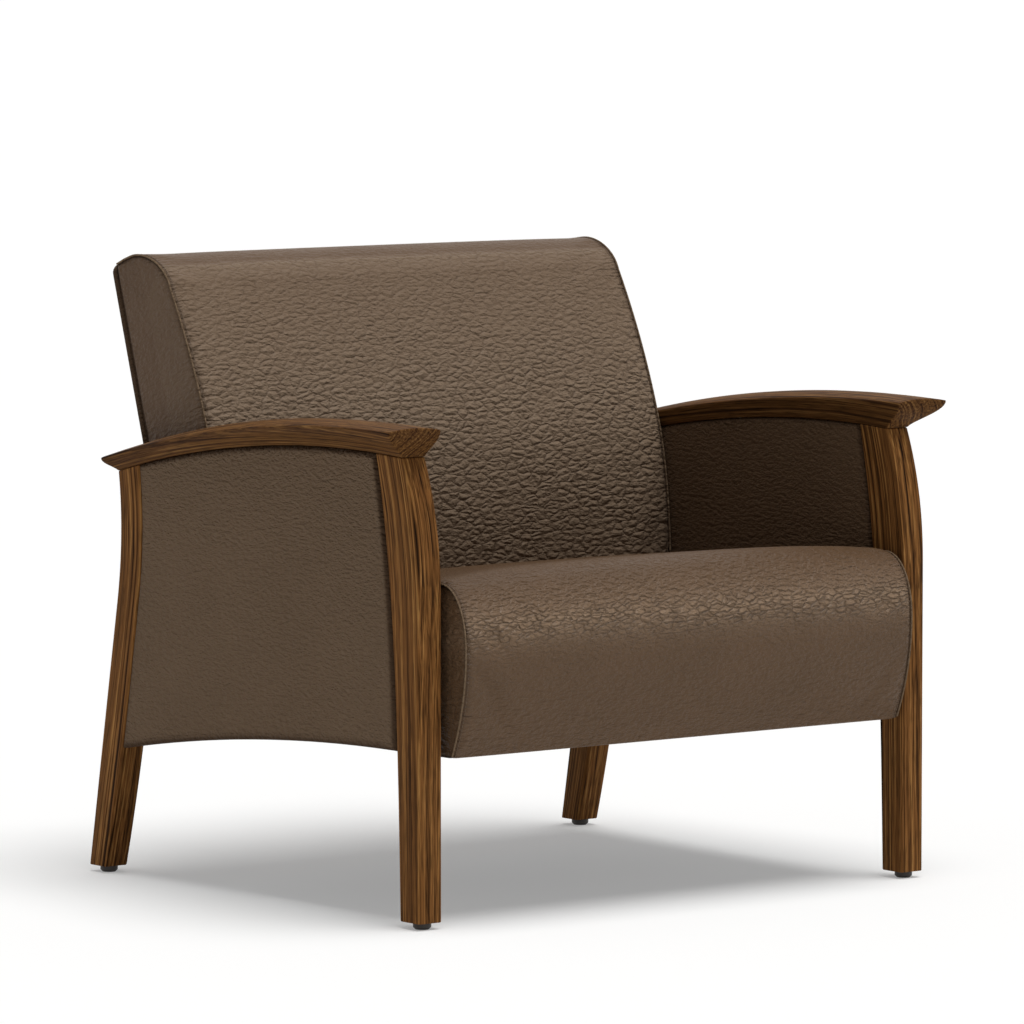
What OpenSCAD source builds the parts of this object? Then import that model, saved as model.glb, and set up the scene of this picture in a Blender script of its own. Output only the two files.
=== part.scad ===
// Bariatric armchair with a bowed wooden frame and sprung, upholstered seat and back.
// +Z is up and the sitter faces -Y. The origin is on the floor at the middle of the chair's box.

/* [Footprint] */
// Clear width between the inner faces of the left and right legs
leg_gap = 788; // [700:1:860]
// Distance from the front glides to the rear glides
wheelbase = 715; // [690:1:740]
// Width of every leg, seen from the front
leg_w = 38; // [34:1:44]
// Radius that eases the long edges of the legs
leg_edge_r = 4; // [2:0.5:7]

/* [Front leg] */
// How far the foot's front face stands ahead of its glide
foot_ahead = 18.5; // [16:0.5:24]
// How far the foot's rear face stands behind its glide
foot_behind = 24; // [18:0.5:30]
// Height at which the front face starts to bow back
bow_start_z = 431; // [380:1:460]
// How far the front face bows back at the arm
bow_back = 35; // [20:0.5:40]
// Straight widening of the rear face from the foot to the arm
front_leg_taper = 15; // [5:0.5:20]
// Extra sweep of the rear face at the arm
front_leg_sweep = 36.5; // [25:0.5:42]

/* [Rear leg] */
// How far the heel stands behind its glide
heel_behind = 21; // [16:0.5:26]
// Depth of the rear foot
rear_foot_d = 38.5; // [34:0.5:44]
// Rake of the rear leg in degrees
rear_rake = 10.4; // [8:0.1:12]
// Height of the knee, where the rear leg has its full depth
knee_z = 260; // [220:1:290]
// Growth in depth from the foot to the knee
knee_gain = 12; // [6:0.5:16]
// Height at which the rear face starts to sweep back again
hip_z = 380; // [350:1:410]
// How far the top of the rear face sweeps back
hip_sweep = 30; // [20:0.5:34]

/* [Glides] */
// Height of a glide under the foot
glide_h = 9; // [6:0.5:12]
// Radius of a glide
glide_r = 12; // [9:0.5:14]
// Radius of a glide's nail shank
glide_pin_r = 3; // [2:0.25:4]
// Length of a glide's nail shank
glide_pin_l = 22; // [15:1:30]
// Chamfer round the foot of each leg
foot_chamfer = 2.5; // [1:0.5:4]

/* [Arm cap] */
// Height of the crest of the cap's underside
arm_under_z = 620; // [600:1:640]
// Distance from the front glide to the crest of the underside
arm_under_y = 150; // [130:1:170]
// Radius of the arch of the underside
arm_under_r = 2110; // [2000:10:2400]
// Height of the crest of the cap's top
arm_top_z = 659; // [652:0.5:664]
// Distance from the front glide to the crest of the top
arm_top_y = 95; // [90:1:125]
// Radius of the arch of the top
arm_top_r = 2170; // [2050:10:2450]
// Crown of the top across its width at the middle of the arm
arm_crown = 9; // [4:0.5:12]
// Crown of the top at the two noses
arm_tip_crown = 4; // [2:0.5:6]
// Overhang of the front nose past the leg
arm_nose_front = 29.5; // [20:0.5:34]
// Overhang of the rear nose past the leg
arm_nose_rear = 23.5; // [18:0.5:30]
// Overhang of the outer edge past the leg at the front
arm_flare_front = 44; // [30:0.5:50]
// Overhang of the outer edge past the leg at the rear
arm_flare_rear = 12; // [8:0.5:20]
// Overhang of the inner edge past the leg
arm_lip = 3; // [1:0.5:4]

/* [Side panel] */
// Height of the panel's bottom edge at the front leg
panel_front_z = 231; // [222:1:240]
// How far the bottom edge drops from the front leg to the rear leg
panel_drop = 54; // [30:1:64]
// Thickness of the rails and board in the panel's core
core_t = 20; // [16:1:22]
// Height of the upper side rail
upper_rail_h = 45; // [35:1:55]
// Height of the lower side rail
lower_rail_h = 70; // [64:1:80]
// Depth by which the covers wrap under the lower rail
panel_wrap = 6; // [3:0.5:10]
// How far a pad's face stands proud of the leg's outer face
outer_pad_proud = 2; // [0.5:0.5:4]
// How far a pad's face stands proud of the leg's inner face
inner_pad_proud = 1; // [0.5:0.5:2]
// Radius of the padded edge of a panel
pad_edge_r = 6; // [3:0.5:8]

/* [Seat] */
// Height of the seat's side seams at the front
seat_seam_z = 450.5; // [436:0.5:460]
// How far the seat seam drops towards the back
seat_fall = 52; // [20:0.5:56]
// Gap between a leg's inner face and the seat's side seam
seat_gap = 13; // [12:0.5:18]
// Reach of the front bullnose ahead of the front glides
seat_nose_reach = 53.5; // [44:0.5:60]
// Depth of the bullnose's upper curve
seat_nose_d = 54.5; // [45:0.5:60]
// Height of the widest point of the bullnose
seat_nose_z = 364; // [345:1:375]
// Height of the bottom edge of the bullnose
seat_bottom_z = 222; // [215:1:226]
// How far the bullnose tucks back at its bottom edge
seat_tuck = 31.5; // [15:0.5:36]
// Crown of the seat above its side seams
seat_crown = 18; // [6:1:20]
// Bulge of the seat's side gussets past the seams
gusset_bulge = 2.5; // [1:0.5:3.5]

/* [Back] */
// Rake of the back in degrees
back_rake = 17.1; // [14:0.1:20]
// Length of the back along its rake
back_len = 631; // [600:1:660]
// Height of the bottom edge of the back's rear face
back_foot_z = 230; // [224:1:240]
// Greatest thickness of the back, at the small of the sitter's back
lumbar_t = 159.5; // [150:0.5:170]
// Distance of that thickest place from the back's lower edge
lumbar_up = 335; // [310:1:360]
// Thickness where the back meets the seat
seat_line_t = 131; // [125:0.5:140]
// Distance of the seat line from the back's lower edge
seat_line_up = 155; // [148:1:165]
// Thickness at the lower end of the top curve
shoulder_t = 132.5; // [124:0.5:138]
// Depth of the top curve, from the crest to the front
back_top_d = 78; // [60:1:90]
// Height of the top curve
back_top_h = 66; // [50:1:80]
// Gap between a leg's inner face and the back's side seam
back_gap = 5; // [4:0.5:8]
// Crown of the back's front face
back_crown = 7; // [2:0.5:12]
// Thickness of the separate rear panel
rear_panel_t = 14; // [10:0.5:16]

/* [Frames] */
// Width of the hardwood rails of the seat and back frames
frame_t = 22; // [18:1:26]
// Height of the seat frame's side and rear rails
seat_rail_h = 54; // [45:1:60]
// Thickness of the cover on the sides of the frames
cover_t = 4.5; // [3:0.5:6]
// Thickness of the back frame, front to rear
back_frame_d = 26; // [22:1:28]
// Width of the back's stiles
stile_w = 44; // [36:1:50]
// Height of the rear stretcher
stretcher_h = 60; // [45:1:70]
// Thickness of the rear stretcher
stretcher_t = 24; // [20:1:28]
// Height of the rear stretcher's lower edge
stretcher_z = 262; // [240:1:300]

/* [Steel cross tubes] */
// Height of the tubes' lower face
tube_z = 240; // [238:0.5:244]
// Width of a tube, front to rear
tube_w = 50; // [40:1:60]
// Height of a tube
tube_h = 30; // [25:1:32]
// Wall of a tube
tube_wall = 3; // [2:0.5:4]
// Distance of the front tube's middle from the front glides
front_tube_y = 100; // [94:1:110]
// Distance of the rear tube's middle ahead of the seat's rear face
rear_tube_back = 72; // [65:1:90]
// Thickness of the welded end plates
end_plate_t = 5; // [4:0.5:6]
// Reach of an end plate past each side of its tube
end_plate_reach = 24; // [20:1:28]
// Height of an end plate
end_plate_h = 42; // [36:1:44]

/* [Springs and foam] */
// Strands of sinuous spring across the seat
seat_strands = 6; // [4:1:7]
// Strands of sinuous spring across the back
back_strands = 4; // [3:1:5]
// Thickness of the spring wire
wire_d = 4; // [3:0.5:5]
// Width of a strand from bend to bend
strand_w = 48; // [40:1:54]
// Distance from bend to bend along a strand
strand_pitch = 26; // [22:1:34]
// Thickness of the seat's foam slab
seat_foam_t = 52; // [46:1:56]
// Thickness of the back's foam slab
back_foam_t = 58; // [45:1:64]

/* [Fasteners] */
// Radius of the frame bolts
bolt_r = 4; // [3:0.5:5]
// Radius of the threaded inserts
insert_r = 6.5; // [6:0.5:8]
// Length of the threaded inserts
insert_l = 12; // [10:0.5:13]
// Radius of the wooden dowels
dowel_r = 5; // [4:0.5:6]
// Length of the wooden dowels
dowel_l = 40; // [30:1:42]
// Radius of the seat frame screws
screw_r = 3; // [2.5:0.25:4]

/* [Hidden] */

// Clearance between pieces that rest on each other
fit = 0.3;
// Clearance round a pin or dowel in its bore
bore_fit = 0.1;
// Gap between a side panel and the legs and cap round it
panel_gap = 0.5;
// Crown of an outer side pad
pad_crown = 1.5;
// Overrun of every cut
over = 5;
$fn = 48;

// Powers of the curves: legs, arm caps, seat top and bullnose, back, and the crowns across
bow_power = 2.2;
sweep_power = 3.5;
hollow_power = 1.35;
fall_power = 1;
nose_power = 0.95;
roll_power = 1.14;
waist_power = 1.7;
crown_power = 3.4;

// The foot of every leg, and the middle plane of the legs on the right
foot_z = glide_h;
leg_x = leg_gap / 2;
leg_mid_x = leg_x + leg_w / 2;

// Heights of the cap's two arches along the chair
function arm_under(y) = arm_under_z - pow(y - arm_under_y, 2) / (2 * arm_under_r);
function arm_crest(y) = arm_top_z - pow(y - arm_top_y, 2) / (2 * arm_top_r);

// Front and rear faces of the legs at a height
front_top_z = arm_under(foot_behind + front_leg_taper + front_leg_sweep);
rear_top_z = arm_under(wheelbase + heel_behind - rear_foot_d - knee_gain + hip_sweep
    - (arm_under(wheelbase - rear_foot_d) - foot_z) * tan(rear_rake));
function rise(z, low, high) = max(0, (z - low) / (high - low));
function front_leg_fore(z) = -foot_ahead + bow_back * pow(rise(z, bow_start_z, front_top_z), bow_power);
function front_leg_aft(z) = foot_behind + front_leg_taper * rise(z, foot_z, front_top_z)
    + front_leg_sweep * pow(rise(z, foot_z, front_top_z), sweep_power);
function rear_leg_aft(z) = wheelbase + heel_behind - (z - foot_z) * tan(rear_rake)
    + hip_sweep * pow(rise(z, hip_z, rear_top_z), 2);
function rear_leg_fore(z) = rear_leg_aft(z) - rear_foot_d
    - knee_gain * (1 - pow(1 - min(1, rise(z, foot_z, knee_z)), 2));

// Corners of the side panel, and the layers of its core
panel_front_y = front_leg_aft(panel_front_z);
panel_rear_y = rear_leg_fore(panel_front_z - panel_drop);
top_front_y = front_leg_aft(front_top_z);
top_rear_y = rear_leg_fore(rear_top_z);
core_in = leg_mid_x - core_t / 2;
core_out = leg_mid_x + core_t / 2;
outer_face = leg_x + leg_w + outer_pad_proud;
inner_face = leg_x - inner_pad_proud;
function panel_low(y) = panel_front_z
    - panel_drop * pow((y - panel_front_y) / (panel_rear_y - panel_front_y), 2);
function rail_low(y) = panel_low(y) + panel_wrap;
function rail_high(y) = rail_low(y) + lower_rail_h;
rail_top_front_y = front_leg_aft(rail_high(panel_front_y));
rail_top_rear_y = rear_leg_fore(rail_high(panel_rear_y));
upper_front_z = arm_under(top_front_y) - upper_rail_h;
upper_rear_z = arm_under(top_rear_y) - upper_rail_h;
upper_front_y = front_leg_aft(upper_front_z);
upper_rear_y = rear_leg_fore(upper_rear_z);
lower_front_z = rail_low(panel_front_y);
lower_rear_z = rail_low(panel_rear_y);
lower_front_y = front_leg_aft(lower_front_z);
lower_rear_y = rear_leg_fore(lower_rear_z);

// Dowels: two from each leg into the cap, and two in each end of a rail
cap_dowel_down = 22;
cap_dowel_up = 17;
// Distance of the cap's dowels from the outer faces of the legs, in dowel radii
front_dowel_radii = [2.4, 5.2];
rear_dowel_radii = [4.9, 2.1];
// Heights of a rail's dowels, as shares of the rail
lower_dowel_shares = [0.2, 0.52];
upper_dowel_shares = [0.32, 0.64];
front_cap_y = front_leg_fore(front_top_z);
rear_cap_y = rear_leg_aft(rear_top_z);
cap_dowel_ys = concat(
    [for (k = front_dowel_radii) front_cap_y + k * dowel_r],
    [for (k = rear_dowel_radii) rear_cap_y - k * dowel_r]);
function lower_pair(low) = [for (k = lower_dowel_shares) low + lower_rail_h * k];
function upper_pair(low) = [for (k = upper_dowel_shares) low + upper_rail_h * k];
function stretcher_y(z) = (rear_leg_fore(z) + rear_leg_aft(z)) / 2;
stretcher_dowel_step = 2 * dowel_r;

// The back's own plane: its rear face is y = 0 there, and z runs up the rake.
// Its place follows from the bolt that holds each stile to a rear leg.
stile_mid = rear_panel_t + fit + back_frame_d / 2;
// Height of that bolt under the cap, and its place behind the leg's front face
bolt_under_cap = 37;
bolt_in_leg = 13;
back_bolt_z = arm_under(top_rear_y) - bolt_under_cap;
back_bolt_y = rear_leg_fore(back_bolt_z) + bolt_in_leg;
back_bolt_up = (back_bolt_z - back_foot_z - stile_mid * sin(back_rake)) / cos(back_rake);
back_y = back_bolt_y + stile_mid * cos(back_rake) - back_bolt_up * sin(back_rake);
function on_back(y, z) = [back_y + y * cos(back_rake) + z * sin(back_rake),
    back_foot_z - y * sin(back_rake) + z * cos(back_rake)];
// Height of the frame's lower end up the rake, and the bulge of the back's side gussets
back_low = 6;
back_bulge = 1.2;
// Gap up the rake between the foam and the clips of the springs
foam_clear = 3;
back_half = leg_x - back_gap;
stile_out = back_half - cover_t;
stile_in = stile_out - stile_w;
frame_back = -rear_panel_t - fit;
frame_fore = frame_back - back_frame_d;
frame_top = back_len - back_top_h / 2;
clip_t = 1.5;
clip_reach = 2 * wire_d;
spring_y = frame_fore - fit - wire_d / 2;
foam_back = spring_y - wire_d / 2 - clip_t - 2 * fit;
foam_front = foam_back - back_foam_t;
strand_low = back_low + 1.5 * stile_w;
strand_high = frame_top - stile_w / 2;
foam_top = strand_high - clip_reach - foam_clear;

// Thickness of the back from its rear face, at a distance up the rake
shoulder_up = back_len - back_top_h;
function back_thick(z) = z > lumbar_up
    ? lumbar_t - (lumbar_t - shoulder_t) * pow((z - lumbar_up) / (shoulder_up - lumbar_up), 2)
    : lumbar_t - (lumbar_t - seat_line_t) * pow((lumbar_up - z) / (lumbar_up - seat_line_up), waist_power);

// The seat ends at the line where the back's front face meets it
seat_rear_y = on_back(-seat_line_t, seat_line_up)[0] - 2 * fit;
seat_half = leg_x - seat_gap;
nose_start = seat_nose_d - seat_nose_reach;
seam_dip = 2;

// Seat frame, from the steel tubes up; the cover wraps under the front rail
dust_t = 1.4;
seat_wrap = 8;
front_rail_y = 14;
frame_half = seat_half - 2 * cover_t;
frame_low = tube_z + tube_h + dust_t + 2 * fit;
frame_high = frame_low + seat_rail_h;
front_rail_low = seat_bottom_z + seat_wrap;
frame_rear = seat_rear_y - cover_t;
spring_z = frame_high + fit + wire_d / 2;
foam_low = spring_z + wire_d / 2 + clip_t + 2 * fit;
rear_tube_y = seat_rear_y - rear_tube_back;
screw_x = frame_half - frame_t / 2;

// Bolts of the right-hand side, as places in y and z
head_h = 1.3 * bolt_r;
head_r = 2 * bolt_r;
washer_t = 1.6;
washer_r = 2.1 * bolt_r;
screw_head_r = 2 * screw_r;
tube_bolt_z = tube_z + end_plate_h / 2;
tube_bolt_ys = [for (y = [front_tube_y, rear_tube_y], d = [-1, 1])
    y + d * (tube_w + end_plate_reach) / 2];
low_bolt_up = 4 * bolt_r;
low_bolt = on_back(-stile_mid, back_low + low_bolt_up);
high_bolt = [back_bolt_y, back_bolt_z];

// The whole chair is centred on its box, whose front is the crowned bullnose
nose_front_share = 0.31;
mid_y = (on_back(0, back_len - pad_edge_r)[0] - seat_nose_reach - nose_front_share * seat_crown) / 2;

// Places along, down the height and across the width of an arm cap
cap_end_shares = [0, 0.02];
cap_mid_shares = [0.06, 0.94];
cap_steps = 14;
cap_level_shares = [0, 0.2, 0.4, 0.6, 0.8, 1];
cap_crown_shares = [0.25, 0.5, 0.75];
// Places across a cushion, from the middle to just inside the seam
crown_shares = [0, 0.2, 0.4, 0.6, 0.75, 0.88, 0.96];
// Rings of a gusset: share of the bulge, and share of the outline
gusset_shares = [[1, 0.5], [0.8, 0.85]];
gusset_seam_share = 0.3;
// Rings of a pad's face: share of the crown, and share of the outline
face_shares = [[0.6, 0.75], [1, 0.4]];
// Shares of the crown: down the bullnose, over the back's top and at the small of the back
nose_share = 0.27;
seat_ramp = 2.2;
back_share = 0.7;
back_roll_share = 0.4;
back_waist_share = 0.3;
back_fade_power = 6;
back_rear_weights = [0, 0, 0.2, 0.3];
// Place of the back's first bend over its rear edge, as a share of its crest
back_crest_share = 0.7;
rear_corner_r = 14;

wood = "#6b4a30";
dark_wood = "#8a6a48";
vinyl = "#5a4a40";
panel_vinyl = "#5e5248";
steel = "#4a4c50";
glide_brown = "#2e2218";
brass = "#a08a50";
foam_yellow = "#d8cfa8";
cloth_black = "#202020";

// Points of a curve, from a function's values, are listed with this many steps
steps = 10;
function span(a, b, n) = [for (i = [0:n]) a + (b - a) * i / n];
function total(v, i = 0) = i < len(v) ? v[i] + total(v, i + 1) : 0 * v[0];
function middle(points) = total(points) / len(points);

// Places every piece over the origin
module chair() translate([0, -mid_y, 0]) children();
// Draws a piece of the right-hand side, or its mirror image
module side(s) mirror([s < 0 ? 1 : 0, 0, 0]) children();
// Stands an outline drawn in y and z on a plane across the chair
module plate_x(x0, x1) translate([x0, 0, 0]) rotate([90, 0, 90]) linear_extrude(x1 - x0) children();
module on_rake() translate([0, back_y, back_foot_z]) rotate([-back_rake, 0, 0]) children();
module pin_x(x0, x1, y, z, r) translate([x0, y, z]) rotate([0, 90, 0]) cylinder(h = x1 - x0, r = r);
module box(low, high) translate(low) cube(high - low);

// Skins a stack of rings that all have the same number of points. The ends are closed by fans,
// or by strips between the two sides of a ring that runs up one side and down the other.
module skin(rings, strips = false) {
    n = len(rings[0]);
    last = len(rings) - 1;
    points = concat([for (ring = rings) each ring], [middle(rings[0]), middle(rings[last])]);
    top = n * last;
    fan = n * (last + 1);
    sides = [for (j = [0:last - 1], i = [0:n - 1]) each [
        [j * n + i, (j + 1) * n + (i + 1) % n, j * n + (i + 1) % n],
        [j * n + i, (j + 1) * n + i, (j + 1) * n + (i + 1) % n]]];
    ends = strips
        ? [for (i = [0:floor(n / 2) - 1], lift = [0, top])
            each let (a = i, b = i + 1, c = n - 2 - i, d = n - 1 - i) concat(
                b == c ? [] : [lift == 0 ? [a, b, c] : [top + a, top + c, top + b]],
                [lift == 0 ? [a, c, d] : [top + a, top + d, top + c]])]
        : [for (i = [0:n - 1]) each [[fan, i, (i + 1) % n], [fan + 1, top + (i + 1) % n, top + i]]];
    polyhedron(points, concat(sides, ends));
}
// Unit directions out of a closed outline that runs anticlockwise
function outward(points) = let (n = len(points)) [for (i = [0:n - 1])
    let (d = points[(i + 1) % n] - points[(i + n - 1) % n]) [d[1], -d[0]] / norm(d)];

// Rounded rectangle at a height, as a ring of sixteen points
function corner(cx, cy, r, from) = [for (a = [0, 30, 60, 90])
    [cx + r * cos(from + a), cy + r * sin(from + a)]];
function rounded(x0, x1, y0, y1, r) = concat(
    corner(x1 - r, y1 - r, r, 0), corner(x0 + r, y1 - r, r, 90),
    corner(x0 + r, y0 + r, r, 180), corner(x1 - r, y0 + r, r, 270));
function level(points, z) = [for (p = points) [p[0], p[1], z]];

// A leg on the right-hand side: rings up its length, chamfered foot, top fitted to the cap
module leg(fore, aft, top) {
    low = foot_z + foot_chamfer;
    heights = concat([low, knee_z / 2], span(knee_z, top - leg_w / 2, 8));
    foot = rounded(leg_x + foot_chamfer, leg_x + leg_w - foot_chamfer,
        fore(foot_z) + foot_chamfer, aft(foot_z) - foot_chamfer, leg_edge_r);
    head = rounded(leg_x, leg_x + leg_w, fore(top), aft(top), leg_edge_r);
    skin(concat(
        [level(foot, foot_z)],
        [for (z = heights) level(rounded(leg_x, leg_x + leg_w, fore(z), aft(z), leg_edge_r), z)],
        [[for (p = head) [p[0], p[1], arm_under(p[1]) - fit]]]));
}

// Pins and dowels are drawn with no slack, and their bores with some
module glide_bore(y) translate([leg_mid_x, y, foot_z - over])
    cylinder(h = glide_pin_l + over + fit, r = glide_pin_r + bore_fit);
module dowel_up(y, slack) translate([leg_mid_x, y, arm_under(y) - cap_dowel_down - slack])
    cylinder(h = cap_dowel_down + cap_dowel_up + 2 * slack, r = dowel_r + (slack > 0 ? bore_fit : 0));
module dowel_along(y, z, slack) translate([leg_mid_x, y - dowel_l / 2 - slack, z]) rotate([-90, 0, 0])
    cylinder(h = dowel_l + 2 * slack, r = dowel_r + (slack > 0 ? bore_fit : 0));
module cap_dowels(slack) for (y = cap_dowel_ys) dowel_up(y, slack);
module front_dowels(slack) for (z = concat(upper_pair(upper_front_z), lower_pair(lower_front_z)))
    dowel_along(front_leg_aft(z), z, slack);
module rear_dowels(slack) for (z = concat(upper_pair(upper_rear_z), lower_pair(lower_rear_z)))
    dowel_along(rear_leg_fore(z), z, slack);
module stretcher_dowels(slack) for (d = [-stretcher_dowel_step, stretcher_dowel_step])
    let (z = stretcher_z + stretcher_h / 2 + d) pin_x(
        leg_x - dowel_l / 2 - slack, leg_x + dowel_l / 2 + slack, stretcher_y(z), z,
        dowel_r + (slack > 0 ? bore_fit : 0));
module tube_inserts(r, slack) for (y = tube_bolt_ys)
    pin_x(core_in - slack * over, core_in + insert_l + slack * fit, y, tube_bolt_z, r);
module low_insert(r, slack)
    pin_x(core_in - slack * over, core_in + insert_l + slack * fit, low_bolt[0], low_bolt[1], r);
module high_insert(r, slack)
    pin_x(leg_x - slack * over, leg_x + insert_l + slack * fit, high_bolt[0], high_bolt[1], r);

module front_leg(s) color(wood) chair() side(s) difference() {
    leg(function(z) front_leg_fore(z), function(z) front_leg_aft(z), front_top_z);
    glide_bore(0);
    cap_dowels(fit);
    front_dowels(fit);
}
module rear_leg(s) color(wood) chair() side(s) difference() {
    leg(function(z) rear_leg_fore(z), function(z) rear_leg_aft(z), rear_top_z);
    glide_bore(wheelbase);
    cap_dowels(fit);
    rear_dowels(fit);
    stretcher_dowels(fit);
    high_insert(insert_r + bore_fit, 1);
}

// The arm cap is a run of sections with undercut sides and noses and a crowned, arched top
function hollow(t) = pow(sin(90 * t), hollow_power);
function taper(s) = s * s * (3 - 2 * s);
function flare(s) = arm_flare_front + (arm_flare_rear - arm_flare_front) * taper(s);
function cap_crown(s) = arm_tip_crown + (arm_crown - arm_tip_crown) * sin(180 * s);
function cap_y(s, t) = (1 - s) * (front_leg_fore(front_top_z) - arm_nose_front * hollow(t))
    + s * (rear_leg_aft(rear_top_z) + arm_nose_rear * hollow(t));
function cap_point(s, t, x) = let (y = cap_y(s, t), low = arm_under(y), high = arm_crest(y) - cap_crown(s))
    [x, y, low + (high - low) * t];
function cap_in(t) = leg_x - arm_lip * hollow(t);
function cap_out(s, t) = leg_x + leg_w + flare(s) * hollow(t);
function cap_section(s) = concat(
    [for (t = cap_level_shares) cap_point(s, t, cap_in(t))],
    [for (w = cap_crown_shares) cap_point(s, 1, cap_in(1) + (cap_out(s, 1) - cap_in(1)) * w)
        + [0, 0, cap_crown(s) * (1 - pow(2 * w - 1, 2))]],
    [for (i = [len(cap_level_shares) - 1:-1:0]) let (t = cap_level_shares[i])
        cap_point(s, t, cap_out(s, t))]);
cap_places = concat(cap_end_shares, span(cap_mid_shares[0], cap_mid_shares[1], cap_steps),
    [1 - cap_end_shares[1], 1]);
module arm_cap(s) color(wood) chair() side(s) difference() {
    skin([for (u = cap_places) cap_section(u)], true);
    cap_dowels(fit);
}

// Side panel: rails and board in the core, a pad on either face
function front_edge(low, high, gap) = [for (z = span(high, low, steps)) [front_leg_aft(z) + gap, z]];
function rear_edge(low, high, gap) = [for (z = span(low, high, steps)) [rear_leg_fore(z) - gap, z]];
module upper_side_rail(s) color(dark_wood) chair() side(s) difference() {
    plate_x(core_in, core_out) polygon(concat(
        [for (y = span(upper_front_y + panel_gap, upper_rear_y - panel_gap, steps))
            [y, arm_under(y) - upper_rail_h]],
        [for (y = span(top_rear_y - panel_gap, top_front_y + panel_gap, steps)) [y, arm_under(y) - fit]]));
    front_dowels(fit);
    rear_dowels(fit);
}
module lower_side_rail(s) color(dark_wood) chair() side(s) difference() {
    plate_x(core_in, core_out) polygon(concat(
        [for (y = span(lower_front_y + panel_gap, lower_rear_y - panel_gap, steps)) [y, rail_low(y)]],
        rear_edge(lower_rear_z + 2 * fit, lower_rear_z + lower_rail_h - fit, panel_gap),
        [for (y = span(rail_top_rear_y - panel_gap, rail_top_front_y + panel_gap, steps)) [y, rail_high(y)]],
        front_edge(lower_front_z + fit, lower_front_z + lower_rail_h - fit, panel_gap)));
    front_dowels(fit);
    rear_dowels(fit);
    tube_inserts(insert_r + bore_fit, 1);
    low_insert(insert_r + bore_fit, 1);
}
module side_board(s) color(dark_wood) chair() side(s) plate_x(core_in, core_out) polygon(concat(
    [for (y = span(rail_top_front_y + panel_gap, rail_top_rear_y - panel_gap, steps))
        [y, rail_high(y) + fit]],
    rear_edge(rail_high(rail_top_rear_y) + 2 * fit, upper_rear_z - 2 * fit, panel_gap),
    [for (y = span(upper_rear_y - panel_gap, upper_front_y + panel_gap, steps))
        [y, arm_under(y) - upper_rail_h - fit]],
    front_edge(rail_high(rail_top_front_y) + 2 * fit, upper_front_z - 2 * fit, panel_gap)));

// Places of an outline drawn in y and z on the plane at x, and the same shrunk towards its middle
function stood(outline, x) = [for (p = outline) [x, p[0], p[1]]];
function shrunk(outline, x, k) = let (c = middle(outline)) stood([for (p = outline) c + (p - c) * k], x);

// A padded panel: full outline at the core, rounded edge, crowned face
module pad(outline, base, face, crown) {
    n = outward(outline);
    d = face > base ? 1 : -1;
    rings = concat([stood(outline, base)],
        [for (a = [0, 45, 90]) stood(outline - n * (pad_edge_r * (1 - cos(a))),
            face - d * pad_edge_r * (1 - sin(a)))],
        [for (k = face_shares) shrunk(outline, face + d * crown * k[0], k[1])]);
    skin(d > 0 ? rings : [for (i = [len(rings) - 1:-1:0]) rings[i]]);
}
function panel_outline(low) = let (
    front_z = low(panel_front_y), rear_z = low(panel_rear_y),
    front_y = front_leg_aft(front_z) + panel_gap, rear_y = rear_leg_fore(rear_z) - panel_gap,
    high_z = arm_under(top_front_y), back_z = arm_under(top_rear_y)) concat(
    [for (y = span(front_y, rear_y, steps)) [y, low(y)]],
    [for (i = [1:steps - 1]) let (z = rear_z + (back_z - rear_z) * i / steps)
        [rear_leg_fore(z) - panel_gap, z]],
    [for (y = span(top_rear_y - panel_gap, top_front_y + panel_gap, steps)) [y, arm_under(y) - panel_gap]],
    [for (i = [1:steps - 1]) let (z = high_z + (front_z - high_z) * i / steps)
        [front_leg_aft(z) + panel_gap, z]]);
module outer_side_pad(s) color(panel_vinyl) chair() side(s)
    pad(panel_outline(function(y) panel_low(y)), core_out + fit, outer_face, pad_crown);
module inner_side_pad(s) color(panel_vinyl) chair() side(s)
    pad(panel_outline(function(y) rail_high(y) + fit), core_in - fit, inner_face, -pad_crown / 2);

module rear_stretcher() color(dark_wood) chair() difference() {
    plate_x(-leg_x + fit, leg_x - fit) polygon(concat(
        [for (z = [stretcher_z, stretcher_z + stretcher_h]) [stretcher_y(z) + stretcher_t / 2, z]],
        [for (z = [stretcher_z + stretcher_h, stretcher_z]) [stretcher_y(z) - stretcher_t / 2, z]]));
    for (s = [-1, 1]) side(s) stretcher_dowels(fit);
}
glide_ease = glide_h / 3;
module leg_glides() color(glide_brown) chair() for (s = [-1, 1], y = [0, wheelbase])
    translate([s * leg_mid_x, y, 0]) rotate_extrude() polygon([
        [0, 0], [glide_r - glide_ease, 0], [glide_r, glide_ease], [glide_r, glide_h],
        [glide_pin_r, glide_h], [glide_pin_r, glide_h + glide_pin_l], [0, glide_h + glide_pin_l]]);
module arm_dowels() color(dark_wood) chair() for (s = [-1, 1]) side(s) cap_dowels(0);
module rail_dowels() color(dark_wood) chair() for (s = [-1, 1]) side(s) {
    front_dowels(0);
    rear_dowels(0);
    stretcher_dowels(0);
}

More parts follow.
